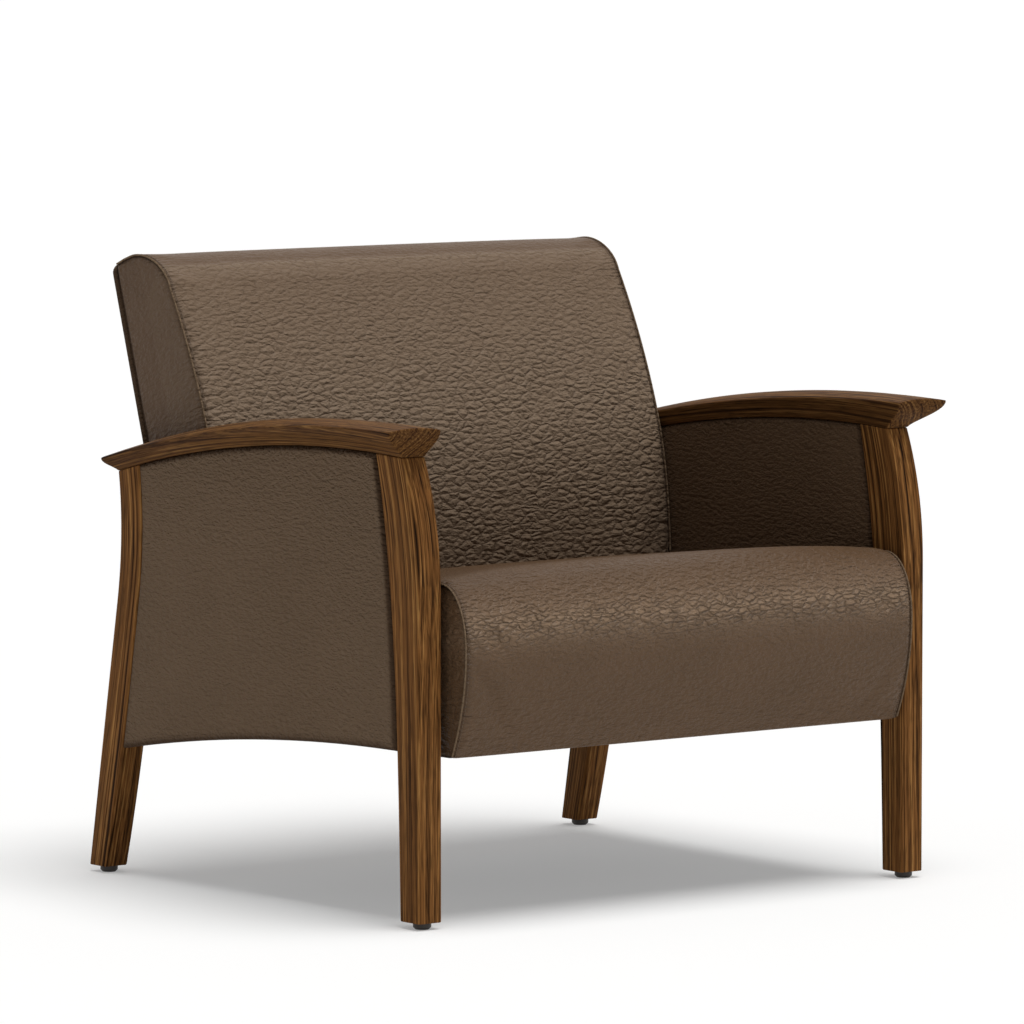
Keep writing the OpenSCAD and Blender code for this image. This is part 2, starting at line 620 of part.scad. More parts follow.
// A steel tube across the chair with an end plate bolted to each lower side rail
module cross_tube(y) color(steel) chair() difference() {
    union() {
        box([-core_in + end_plate_t, y - tube_w / 2, tube_z],
            [core_in - end_plate_t, y + tube_w / 2, tube_z + tube_h]);
        for (s = [-1, 1]) side(s)
            box([core_in - end_plate_t, y - tube_w / 2 - end_plate_reach, tube_z],
                [core_in, y + tube_w / 2 + end_plate_reach, tube_z + end_plate_h]);
    }
    box([-core_in + end_plate_t, y - tube_w / 2 + tube_wall, tube_z + tube_wall],
        [core_in - end_plate_t, y + tube_w / 2 - tube_wall, tube_z + tube_h - tube_wall]);
    for (s = [-1, 1]) side(s) {
        for (b = tube_bolt_ys)
            pin_x(core_in - end_plate_t - over, core_in + over, b, tube_bolt_z, bolt_r + bore_fit);
        translate([screw_x, y, tube_z - over]) cylinder(h = tube_h + 2 * over, r = screw_r + bore_fit);
    }
}
module front_cross_tube() cross_tube(front_tube_y);
module rear_cross_tube() cross_tube(rear_tube_y);

// A hexagon-headed bolt along x, from the underside of its head at x0 to its tip at x1
module bolt(x0, x1, y, z) {
    translate([x0 - washer_t - head_h, y, z]) rotate([0, 90, 0]) cylinder(h = head_h, r = head_r, $fn = 6);
    pin_x(x0 - washer_t, x0, y, z, washer_r);
    pin_x(x0 - washer_t, x1, y, z, bolt_r);
}
module cross_tube_bolts() color(steel) chair() for (s = [-1, 1], y = tube_bolt_ys) side(s)
    bolt(core_in - end_plate_t, core_in + insert_l - fit, y, tube_bolt_z);
module threaded_inserts() color(brass) chair() for (s = [-1, 1]) side(s) difference() {
    union() {
        tube_inserts(insert_r, 0);
        low_insert(insert_r, 0);
        high_insert(insert_r, 0);
    }
    tube_inserts(bolt_r + bore_fit, 1);
    low_insert(bolt_r + bore_fit, 1);
    high_insert(bolt_r + bore_fit, 1);
}

// Seat frame
module seat_front_rail() color(dark_wood) chair()
    box([-frame_half, front_rail_y, front_rail_low], [frame_half, front_rail_y + frame_t, frame_high]);
module seat_rear_rail() color(dark_wood) chair()
    box([-frame_half, frame_rear - frame_t, frame_low], [frame_half, frame_rear, frame_high]);
module seat_side_rails() color(dark_wood) chair() for (s = [-1, 1]) side(s) difference() {
    box([frame_half - frame_t, front_rail_y + frame_t, frame_low],
        [frame_half, frame_rear - frame_t, frame_high]);
    for (y = [front_tube_y, rear_tube_y]) frame_screw(y, screw_r + bore_fit, fit);
}
module seat_corner_blocks() color(dark_wood) chair() for (s = [-1, 1]) side(s)
    for (y = [front_rail_y + frame_t, frame_rear - frame_t], d = y > seat_rear_y / 2 ? -1 : 1)
        translate([frame_half - frame_t, y, frame_low + fit]) linear_extrude(seat_rail_h - frame_t)
            polygon([[0, 0], [-2 * frame_t, 0], [0, 2 * d * frame_t]]);
module frame_screw(y, r, slack) translate([screw_x, y, tube_z - screw_r])
    cylinder(h = frame_low + seat_rail_h / 2 - tube_z + screw_r + slack, r = r);
module seat_frame_screws() color(steel) chair() for (s = [-1, 1], y = [front_tube_y, rear_tube_y]) side(s) {
    frame_screw(y, screw_r, 0);
    translate([screw_x, y, tube_z - screw_r]) cylinder(h = screw_r, r = screw_head_r);
}

// A strand of sinuous wire along +Y from the origin
module strand(length) {
    waves = round(length / (2 * strand_pitch));
    turns = waves * 6;
    path = [for (k = [0:turns]) let (a = sin(60 * k + 30))
        [(strand_w - wire_d) / 2 * sign(a) * pow(abs(a), 0.5), length * k / turns, 0]];
    skin([for (k = [0:turns]) let (
        t = path[min(k + 1, turns)] - path[max(k - 1, 0)],
        across = [t[1], -t[0], 0] / norm(t))
        [for (i = [0:4]) path[k] - across * wire_d / 2 * cos(72 * i) + [0, 0, wire_d / 2 * sin(72 * i)]]]);
}
function strand_xs(n, half) = [for (i = [0.5:n]) -half + 2 * half * i / n];
module seat_springs() color(steel) chair() for (x = strand_xs(seat_strands, frame_half - frame_t))
    translate([x, front_rail_y + frame_t / 2, spring_z]) strand(frame_rear - front_rail_y - frame_t);
// A clip bridges the wire's end and stands on the rail
module clip(x, y, z) translate([x - strand_w / 2 - fit, y - clip_reach, z]) difference() {
    translate([-clip_t, 0, 0])
        cube([strand_w + 2 * (fit + clip_t), 2 * clip_reach, wire_d + 2 * fit + clip_t]);
    translate([0, -over, -over])
        cube([strand_w + 2 * fit, 2 * (clip_reach + over), wire_d + 2 * fit + over]);
}
module seat_spring_clips() color(steel) chair() for (x = strand_xs(seat_strands, frame_half - frame_t))
    for (y = [front_rail_y + frame_t / 2, frame_rear - frame_t / 2]) clip(x, y, frame_high);
module seat_foam() color(foam_yellow) chair()
    box([-frame_half, front_rail_y, foam_low], [frame_half, frame_rear, foam_low + seat_foam_t]);
module dust_cover() color(cloth_black) chair() difference() {
    box([-frame_half, front_rail_y + frame_t + fit, frame_low - fit - dust_t],
        [frame_half, frame_rear, frame_low - fit]);
    for (s = [-1, 1], y = [front_tube_y, rear_tube_y]) side(s) frame_screw(y, screw_r + bore_fit, 0);
}

// A sewn cushion across the chair: crowned between its side seams, with bulging side gussets
module cushion(outline, weights, half, crown, bulge) {
    n = outward(outline);
    gusset = concat(
        [for (k = gusset_shares) shrunk(outline, half + bulge * k[0], k[1])],
        [stood(outline - seam_dip * n, half + bulge * gusset_seam_share), stood(outline, half),
            stood(outline, half - 2 * seam_dip), stood(outline - seam_dip / 2 * n, half - 3 * seam_dip)]);
    body = [for (u = crown_shares) let (high = crown * (1 - pow(u, crown_power)))
        stood([for (i = [0:len(outline) - 1]) outline[i] + n[i] * weights[i] * high], half * u)];
    right = concat(body, [for (i = [len(gusset) - 1:-1:0]) gusset[i]]);
    left = [for (i = [len(right) - 1:-1:1]) [for (p = right[i]) [-p[0], p[1], p[2]]]];
    skin(concat(left, right));
}

// Outline of the seat: top from the back forwards, bullnose, and the stepped bottom
function seat_top(y) = seat_seam_z
    - seat_fall * pow(max(0, (y - nose_start) / (seat_rear_y - nose_start)), fall_power);
seat_top_ys = span(seat_rear_y, nose_start, 9);
nose_angles = [80, 70, 60, 50, 40, 30, 20, 10, 0];
tuck_steps = 7;
tuck_zs = span(seat_nose_z, seat_bottom_z, tuck_steps);
seat_outline = concat([[seat_rear_y, frame_low]],
    [for (y = seat_top_ys) [y, seat_top(y)]],
    [for (a = nose_angles) [nose_start - seat_nose_d * pow(cos(a), nose_power),
        seat_nose_z + (seat_seam_z - seat_nose_z) * pow(sin(a), nose_power)]],
    [for (i = [1:tuck_steps]) let (k = (seat_nose_z - tuck_zs[i]) / (seat_nose_z - seat_bottom_z))
        [seat_tuck * pow(k, 2) - seat_nose_reach, tuck_zs[i]]],
    [[front_rail_y + frame_t + fit, seat_bottom_z], [front_rail_y + frame_t + fit, frame_low]]);
seat_weights = concat([0],
    [for (y = seat_top_ys) sin(90 * min(1, (seat_rear_y - y) / (seat_rear_y - nose_start) * seat_ramp))],
    [for (a = nose_angles) nose_share + (1 - nose_share) * sin(a)],
    [for (i = [1:tuck_steps]) nose_share * (1 - i / tuck_steps)], [0, 0]);
module seat_upholstery() color(vinyl) chair() difference() {
    cushion(seat_outline, seat_weights, seat_half, seat_crown, gusset_bulge);
    box([-frame_half - fit, front_rail_y - fit, front_rail_low - fit],
        [frame_half + fit, frame_rear + fit, foam_low + seat_foam_t + fit]);
}

// Back frame, drawn in the back's own plane
module back_bolt_holes(r) {
    chair() side(1) pin_x(stile_in - over, leg_x + over, low_bolt[0], low_bolt[1], r);
    chair() side(1) pin_x(stile_in - over, leg_x + over, high_bolt[0], high_bolt[1], r);
    chair() side(-1) pin_x(stile_in - over, leg_x + over, low_bolt[0], low_bolt[1], r);
    chair() side(-1) pin_x(stile_in - over, leg_x + over, high_bolt[0], high_bolt[1], r);
}
module back_stiles() color(dark_wood) difference() {
    chair() on_rake() for (s = [-1, 1]) side(s)
        box([stile_in, frame_fore, back_low], [stile_out, frame_back, frame_top]);
    back_bolt_holes(bolt_r + bore_fit);
}
module back_top_rail() color(dark_wood) chair() on_rake()
    box([-stile_in, frame_fore, frame_top - stile_w], [stile_in, frame_back, frame_top]);
module back_bottom_rail() color(dark_wood) chair() on_rake()
    box([-stile_in, frame_fore, back_low + stile_w], [stile_in, frame_back, back_low + 2 * stile_w]);
module back_springs() color(steel) chair() on_rake() for (x = strand_xs(back_strands, stile_in))
    translate([x, spring_y, strand_low]) rotate([90, 0, 0]) strand(strand_high - strand_low);
module back_spring_clips() color(steel) chair() on_rake()
    for (x = strand_xs(back_strands, stile_in), z = [strand_low, strand_high])
        translate([x, frame_fore, z]) rotate([90, 0, 0]) clip(0, 0, 0);
module back_foam() color(foam_yellow) chair() on_rake()
    box([-stile_out, foam_front, seat_line_up], [stile_out, foam_back, foam_top]);

// Outline of the back: rear face up, over the top curve, down the front face
front_steps = 14;
low_steps = 3;
front_zs = span(shoulder_up, seat_line_up, front_steps);
low_zs = span(seat_line_up, back_low / 2, low_steps);
back_crest_y = back_top_d - shoulder_t;
top_angles = [80, 65, 50, 35, 20, 10, 0];
back_outline = concat(
    [[frame_back, back_low / 2], [frame_back, back_len - seam_dip],
        [back_crest_y * back_crest_share, back_len], [back_crest_y, back_len]],
    [for (a = top_angles) [back_crest_y - back_top_d * pow(cos(a), roll_power),
        shoulder_up + back_top_h * pow(sin(a), roll_power)]],
    [for (i = [1:front_steps]) [-back_thick(front_zs[i]), front_zs[i]]],
    [for (i = [1:low_steps]) [-seat_line_t + (seat_line_up - low_zs[i]) * tan(back_rake), low_zs[i]]]);
back_weights = concat(back_rear_weights, [for (a = top_angles) back_share - back_roll_share * sin(a)],
    [for (i = [1:front_steps]) let (k = i / front_steps)
        max(0, back_share + back_waist_share * sin(180 * k) - back_share * pow(k, back_fade_power))],
    [for (i = [1:low_steps]) 0]);
module back_upholstery() color(vinyl) difference() {
    chair() on_rake() difference() {
        cushion(back_outline, back_weights, back_half, back_crown, back_bulge);
        box([-stile_out - fit, foam_back - fit, back_low - fit], [stile_out + fit, 0, frame_top + fit]);
        box([-stile_out - fit, foam_front - fit, seat_line_up - fit],
            [stile_out + fit, foam_back, foam_top + fit]);
    }
    back_bolt_holes(bolt_r + bore_fit);
}
module back_outer_panel() color(panel_vinyl) chair() on_rake() rotate([0, 0, 90])
    pad(rounded(-back_half, back_half, back_low / 2, back_len, rear_corner_r), -rear_panel_t, 0, pad_crown);
module back_bolts() color(steel) chair() for (s = [-1, 1]) side(s) {
    bolt(stile_in, core_in + insert_l - fit, low_bolt[0], low_bolt[1]);
    bolt(stile_in, leg_x + insert_l - fit, high_bolt[0], high_bolt[1]);
}
module back_spacers() color(steel) chair() for (s = [-1, 1]) side(s) difference() {
    union() {
        pin_x(back_half + back_bulge + fit, core_in, low_bolt[0], low_bolt[1], washer_r);
        pin_x(back_half + back_bulge + fit, leg_x, high_bolt[0], high_bolt[1], washer_r);
    }
    pin_x(back_half - over, core_in + over, low_bolt[0], low_bolt[1], bolt_r + bore_fit);
    pin_x(back_half - over, leg_x + over, high_bolt[0], high_bolt[1], bolt_r + bore_fit);
}

front_leg(-1);  // front_leg_left
front_leg(1);  // front_leg_right
rear_leg(-1);  // rear_leg_left
rear_leg(1);  // rear_leg_right
arm_cap(-1);  // arm_cap_left
arm_cap(1);  // arm_cap_right
upper_side_rail(-1);  // upper_side_rail_left
upper_side_rail(1);  // upper_side_rail_right
lower_side_rail(-1);  // lower_side_rail_left
lower_side_rail(1);  // lower_side_rail_right
side_board(-1);  // side_board_left
side_board(1);  // side_board_right
outer_side_pad(-1);  // outer_side_pad_left
outer_side_pad(1);  // outer_side_pad_right
inner_side_pad(-1);  // inner_side_pad_left
inner_side_pad(1);  // inner_side_pad_right
rear_stretcher();
leg_glides();
arm_dowels();
rail_dowels();
front_cross_tube();
rear_cross_tube();
cross_tube_bolts();
threaded_inserts();
seat_front_rail();
seat_rear_rail();
seat_side_rails();
seat_corner_blocks();
seat_frame_screws();
seat_springs();
seat_spring_clips();
seat_foam();
seat_upholstery();
dust_cover();
back_stiles();
back_top_rail();
back_bottom_rail();
back_springs();
back_spring_clips();
back_foam();
back_upholstery();
back_outer_panel();
back_bolts();
back_spacers();
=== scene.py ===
import math

import bmesh
import bpy
import numpy as np
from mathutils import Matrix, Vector, noise


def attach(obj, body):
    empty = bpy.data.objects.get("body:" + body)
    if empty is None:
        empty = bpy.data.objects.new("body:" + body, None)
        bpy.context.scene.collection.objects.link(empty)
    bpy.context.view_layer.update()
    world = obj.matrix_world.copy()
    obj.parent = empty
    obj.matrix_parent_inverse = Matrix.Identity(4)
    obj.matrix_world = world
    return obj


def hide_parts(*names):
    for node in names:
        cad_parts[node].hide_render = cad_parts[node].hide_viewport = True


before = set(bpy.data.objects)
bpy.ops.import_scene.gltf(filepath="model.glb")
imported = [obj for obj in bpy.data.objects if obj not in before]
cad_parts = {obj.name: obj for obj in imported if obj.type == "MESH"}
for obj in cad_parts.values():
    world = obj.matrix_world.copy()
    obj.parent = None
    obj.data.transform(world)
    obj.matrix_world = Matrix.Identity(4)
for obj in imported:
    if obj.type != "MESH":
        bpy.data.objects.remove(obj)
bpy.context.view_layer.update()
print("frame loaded:", len(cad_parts), "nodes")

# The chair's own sizes in mm: y runs back from the front glides, z up from the floor
chair = {"middleY": 341.128, "footZ": 9.0, "legInner": 394.0, "legOuter": 432.0, "legEdge": 4.0, "fit": 0.3,
         "rearRake": 10.4, "archY": 150.0, "archZ": 620.0, "archRadius": 2110.0,
         "crestY": 95.0, "crestZ": 659.0, "crestRadius": 2170.0}

# Each face of a leg: start + slope * rise + bow * (share of the way up from bowFrom) ** power - knee
frontLeg = {"foreStart": -18.5, "foreSlope": 0.0, "foreBow": 35.0, "foreFrom": 431.0, "forePower": 2.2,
            "aftStart": 24.0, "aftSlope": 15.0 / 609.1, "aftBow": 36.5, "aftFrom": 9.0, "aftPower": 3.5,
            "knee": 0.0, "kneeRise": 251.0, "top": 618.7}
rakeSlope = -math.tan(math.radians(chair["rearRake"]))
rearLeg = {"foreStart": 697.5, "foreSlope": rakeSlope, "foreBow": 30.0, "foreFrom": 380.0, "forePower": 2.0,
           "aftStart": 736.0, "aftSlope": rakeSlope, "aftBow": 30.0, "aftFrom": 380.0, "aftPower": 2.0,
           "knee": 12.0, "kneeRise": 251.0, "top": 568.7}


def armUnder(y):
    return chair["archZ"] - (y - chair["archY"]) ** 2 / (2 * chair["archRadius"])


def armCrest(y):
    return chair["crestZ"] - (y - chair["crestY"]) ** 2 / (2 * chair["crestRadius"])


def legFace(leg, side, z):
    # y of a leg's fore or aft face at height z
    rise = z - chair["footZ"]
    share = np.maximum(0, (z - leg[side + "From"]) / (leg["top"] - leg[side + "From"]))
    y = leg[side + "Start"] + leg[side + "Slope"] * rise + leg[side + "Bow"] * share ** leg[side + "Power"]
    if side == "fore":
        y = y - leg["knee"] * (1 - (1 - np.minimum(1, rise / leg["kneeRise"])) ** 2)
    return y


# Helpers for colours, nodes and meshes


def linear(hexText):
    # sRGB hex to linear RGBA
    parts = [int(hexText[i:i + 2], 16) / 255 for i in (1, 3, 5)]
    return [c / 12.92 if c <= 0.04045 else ((c + 0.055) / 1.055) ** 2.4 for c in parts] + [1.0]


def addNode(tree, kind, inputs=None, stops=None, **settings):
    # adds a node, sets it, and fills its sockets with values or links; stops are a ramp's places and colours.
    # A kind without "Node" in its name is a shader node
    node = tree.nodes.new(kind if "Node" in kind else "ShaderNode" + kind)
    for key, value in settings.items():
        setattr(node, key, value)
    for key, value in (inputs or {}).items():
        if isinstance(value, bpy.types.Node):
            value = value.outputs[0]
        if isinstance(value, bpy.types.NodeSocket):
            tree.links.new(value, node.inputs[key])
        else:
            node.inputs[key].default_value = value
    for i, (place, colour) in enumerate(stops or []):
        stop = node.color_ramp.elements[i] if i < 2 else node.color_ramp.elements.new(place)
        stop.position, stop.color = place, colour
    return node


def newMaterial(name, roughness, metallic=0.0, gloss=None):
    # a material with its Principled shader; gloss is the specular level, where it isn't the usual 0.5
    material = bpy.data.materials.new(name)
    material.use_nodes = True
    tree = material.node_tree
    shader = tree.nodes["Principled BSDF"]
    shader.inputs["Roughness"].default_value = roughness
    shader.inputs["Metallic"].default_value = metallic
    if gloss is not None:
        shader.inputs["Specular IOR Level"].default_value = gloss
    return material, tree, shader


def makeObject(name, points, faces, material, attributes=None):
    # points in the chair's mm become a smooth mesh in the row frame's metres
    mesh = bpy.data.meshes.new(name)
    place = (np.asarray(points, float) - [0, chair["middleY"], 0]) / 1000
    mesh.from_pydata(place.tolist(), [], faces)
    for key, values in (attributes or {}).items():
        values = np.asarray(values, np.float32)
        kind, field = ("FLOAT_VECTOR", "vector") if values.ndim == 2 else ("FLOAT", "value")
        mesh.attributes.new(key, kind, "POINT").data.foreach_set(field, values.ravel())
    mesh.polygons.foreach_set("use_smooth", [True] * len(mesh.polygons))
    mesh.materials.append(material)
    obj = bpy.data.objects.new(name, mesh)
    bpy.context.scene.collection.objects.link(obj)
    return obj


def faceOutwards(obj, mostSides=8):
    # also cuts the many-sided faces that close an end into triangles
    work = bmesh.new()
    work.from_mesh(obj.data)
    bmesh.ops.triangulate(work, faces=[face for face in work.faces if len(face.verts) > mostSides])
    bmesh.ops.recalc_face_normals(work, faces=work.faces)
    if work.calc_volume(signed=True) < 0:
        bmesh.ops.reverse_faces(work, faces=work.faces)
    work.to_mesh(obj.data)
    work.free()


def ringFaces(rings, count):
    # quads between rings of points that each close on themselves
    return [(j * count + i, j * count + (i + 1) % count, (j + 1) * count + (i + 1) % count,
             (j + 1) * count + i) for j in range(rings - 1) for i in range(count)]


def gridFaces(rows, columns):
    # quads over a grid of points, and one face that closes it along its rim
    faces = [(j * columns + i, j * columns + i + 1, (j + 1) * columns + i + 1, (j + 1) * columns + i)
             for j in range(rows - 1) for i in range(columns - 1)]
    rim = list(range(columns))
    rim += [j * columns + columns - 1 for j in range(1, rows)]
    rim += [(rows - 1) * columns + i for i in reversed(range(columns - 1))]
    rim += [j * columns for j in reversed(range(1, rows - 1))]
    return faces + [tuple(rim)]


def easeEdges(obj, width, segments, sharpest):
    # rounds the edges that turn by more than an angle in degrees; width in mm
    eased = obj.modifiers.new("easedEdges", "BEVEL")
    eased.width, eased.segments = width / 1000, segments
    eased.limit_method, eased.angle_limit = "ANGLE", math.radians(sharpest)


def evaluatedMesh(obj):
    graph = bpy.context.evaluated_depsgraph_get()
    live = obj.evaluated_get(graph)
    return bpy.data.meshes.new_from_object(live, preserve_all_data_layers=True, depsgraph=graph)


def finished(obj):
    # applies live modifiers into a plain mesh, then the piece rides on the chair's one body
    if obj.modifiers:
        mesh = evaluatedMesh(obj)
        obj.modifiers.clear()
        obj.data = mesh
    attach(obj, "root")
    return obj


def newTree(name, inputs):
    # a geometry node tree with named inputs, and a dictionary of their sockets
    tree = bpy.data.node_groups.new(name, "GeometryNodeTree")
    for label, kind in inputs.items():
        tree.interface.new_socket(name=label, in_out="INPUT", socket_type="NodeSocket" + kind)
    tree.interface.new_socket(name="Geometry", in_out="OUTPUT", socket_type="NodeSocketGeometry")
    source = addNode(tree, "NodeGroupInput")
    return tree, {label: source.outputs[label] for label in inputs}


def setInputs(modifier, tree, values):
    # a modifier knows its inputs by the identifiers of the tree's sockets
    for item in tree.interface.items_tree:
        if item.item_type == "SOCKET" and item.in_out == "INPUT" and item.name in values:
            modifier[item.identifier] = values[item.name]


def growNodes(name, tree, values, start=None):
    # runs a node tree on a mesh or on nothing, and keeps the result as a plain mesh
    mesh = start or bpy.data.meshes.new(name + "Start")
    source = bpy.data.objects.new(name + "Source", mesh)
    bpy.context.scene.collection.objects.link(source)
    modifier = source.modifiers.new("nodes", "NODES")
    modifier.node_group = tree
    setInputs(modifier, tree, values)
    result = evaluatedMesh(source)
    bpy.data.objects.remove(source)
    result.name = name
    obj = bpy.data.objects.new(name, result)
    bpy.context.scene.collection.objects.link(obj)
    return obj


# Stained hardwood: streaks 3.3 mm wide and pores 1.1 mm wide and 36 mm long run along the grain, and the
# growth rings are 4.2 mm apart. The ramp's places are where each tone sits in the figure
grainForm = {"roughness": 0.6, "gloss": 0.04, "ringMm": 4.2, "driftMm": 6.0, "driftPerM": (40, 40, 4),
             "streaksPerM": (300, 300, 3.5), "poresPerM": (900, 900, 28), "streakShare": 0.5, "poreTone": 0.5,
             "poreFrom": 0.36, "poreTo": 0.5, "darkAt": 0.36, "brownAt": 0.43, "midAt": 0.53, "lightAt": 0.64,
             "boardHeart": (0.31, -0.13, 0.0), "relief": 0.35}


def woodMaterial(name, tones, turn=None):
    # Ash or oak, stained brown under thin satin lacquer: dark open-grain streaks run along each piece
    # and come out as arcs on its ends. "grain" is measured from the heart of the tree, in metres; a plain
    # board has none, and its grain is turned from its place in the chair
    material, tree, shader = newMaterial(name, grainForm["roughness"], gloss=grainForm["gloss"])
    grain = addNode(tree, "Attribute", attribute_name="grain").outputs["Vector"]
    if turn:
        place = addNode(tree, "TexCoord").outputs["Object"]
        grain = addNode(tree, "Mapping", {"Vector": place, "Rotation": turn,
                                          "Location": grainForm["boardHeart"]}).outputs["Vector"]
    wander = addNode(tree, "Mapping", {"Vector": grain, "Scale": grainForm["driftPerM"]})
    drift = addNode(tree, "TexNoise", {"Vector": wander, "Scale": 1.0, "Detail": 2.0})
    flat = addNode(tree, "VectorMath", {0: grain, 1: (1, 1, 0)}, operation="MULTIPLY")
    pith = addNode(tree, "VectorMath", {0: flat}, operation="LENGTH")
    ring = addNode(tree, "Math", {0: drift, 1: grainForm["driftMm"] / 1000, 2: pith.outputs["Value"]},
                   operation="MULTIPLY_ADD")
    rings = addNode(tree, "TexNoise", {"W": ring, "Scale": 1000 / grainForm["ringMm"], "Detail": 2.5,
                                       "Roughness": 0.7}, noise_dimensions="1D")
    streakMap = addNode(tree, "Mapping", {"Vector": grain, "Scale": grainForm["streaksPerM"]})
    streaks = addNode(tree, "TexNoise", {"Vector": streakMap, "Scale": 1.0, "Detail": 3.0, "Roughness": 0.6})
    figure = addNode(tree, "Mix", {0: grainForm["streakShare"], 2: rings.outputs["Fac"],
                                   3: streaks.outputs["Fac"]}, data_type="FLOAT")
    tone = addNode(tree, "ValToRGB", {"Fac": figure.outputs[0]}, stops=[
        (grainForm[word + "At"], linear(tones[word])) for word in ("dark", "light", "brown", "mid")])
    poreMap = addNode(tree, "Mapping", {"Vector": grain, "Scale": grainForm["poresPerM"]})
    pores = addNode(tree, "TexNoise", {"Vector": poreMap, "Scale": 1.0, "Detail": 1.0})
    poreTone = addNode(tree, "MapRange", {
        "Value": pores, "From Min": grainForm["poreFrom"], "From Max": grainForm["poreTo"],
        "To Min": grainForm["poreTone"], "To Max": 1.0})
    poreGrey = addNode(tree, "CombineColor", {"Red": poreTone, "Green": poreTone, "Blue": poreTone})
    mixed = addNode(tree, "Mix", {0: 1.0, 6: tone.outputs["Color"], 7: poreGrey},
                    data_type="RGBA", blend_type="MULTIPLY")
    tree.links.new(mixed.outputs[2], shader.inputs["Base Color"])
    relief = addNode(tree, "Math", {0: poreTone, 1: figure.outputs[0]}, operation="ADD")
    bump = addNode(tree, "Bump", {"Height": relief, "Strength": grainForm["relief"], "Distance": 0.0005})
    tree.links.new(bump.outputs["Normal"], shader.inputs["Normal"])
    return material


# The vinyl's crackle: a noise bends its folds, and a hill rises from each fold over its reach
crackleForm = {"bendsPerM": 60.0, "bendBy": (0.012, 0.009, 0), "cellReach": 0.5, "waveReach": 0.19,
               "middle": 0.8}
# Where the crackle, the worn and highlit hilltops, the painted shade, the pebble grain and the pleats show,
# shared by all the vinyl
vinylForm = {"patchesPerM": 16.0, "patchFrom": 0.34, "patchTo": 0.6, "patchLeast": 0.55, "foldShadeTop": 0.45,
             "hillFoot": -0.6, "hillTop": 0.5, "tintsPerM": 9.0, "seamShadePower": 4.0, "dullAt": 0.5,
             "pebbleStretch": (0.6, 1.15, 1.0), "pleatReach": 0.14}


def crackleHeight(tree, lay, folds):
    # low hills with narrow wavy folds between them, wider than tall; runs in a material and in geometry nodes
    warpNoise = addNode(tree, "TexNoise", {"Vector": lay, "Scale": crackleForm["bendsPerM"], "Detail": 2.0})
    centred = addNode(tree, "VectorMath", {0: warpNoise.outputs["Color"], 1: (0.5, 0.5, 0.5)},
                      operation="SUBTRACT")
    warp = addNode(tree, "VectorMath", {0: centred, 1: crackleForm["bendBy"]}, operation="MULTIPLY")
    bent = addNode(tree, "VectorMath", {0: lay, 1: warp}, operation="ADD")
    height = 0.0
    for kind, wide, tall, turn, weight in folds:
        turned = addNode(tree, "VectorRotate", {"Vector": bent, "Angle": math.radians(turn)},
                         rotation_type="Z_AXIS")
        placed = addNode(tree, "VectorMath", {0: turned, 1: (1000 / wide, 1000 / tall, 1)},
                         operation="MULTIPLY")
        if kind == "cells":
            cell = addNode(tree, "TexVoronoi", {"Vector": placed, "Scale": 1.0, "Randomness": 1.0},
                           feature="DISTANCE_TO_EDGE", voronoi_dimensions="2D")
            fromFold, reach = cell.outputs["Distance"], crackleForm["cellReach"]
        else:
            swell = addNode(tree, "TexNoise", {"Vector": placed, "Scale": 1.0, "Detail": 1.5})
            off = addNode(tree, "Math", {0: swell, 1: 0.5}, operation="SUBTRACT")
            fromFold = addNode(tree, "Math", {0: off}, operation="ABSOLUTE")
            reach = crackleForm["waveReach"]
        # steep in the fold, round on top
        fromTop = addNode(tree, "MapRange", {"Value": fromFold, "From Min": 0.0, "From Max": reach,
                                             "To Min": 1.0, "To Max": 0.0})
        sunk = addNode(tree, "Math", {0: fromTop, 1: fromTop}, operation="MULTIPLY")
        hill = addNode(tree, "Math", {0: sunk, 1: -weight, 2: weight}, operation="MULTIPLY_ADD")
        height = addNode(tree, "Math", {0: hill, 1: height}, operation="ADD")
    return height.outputs[0]


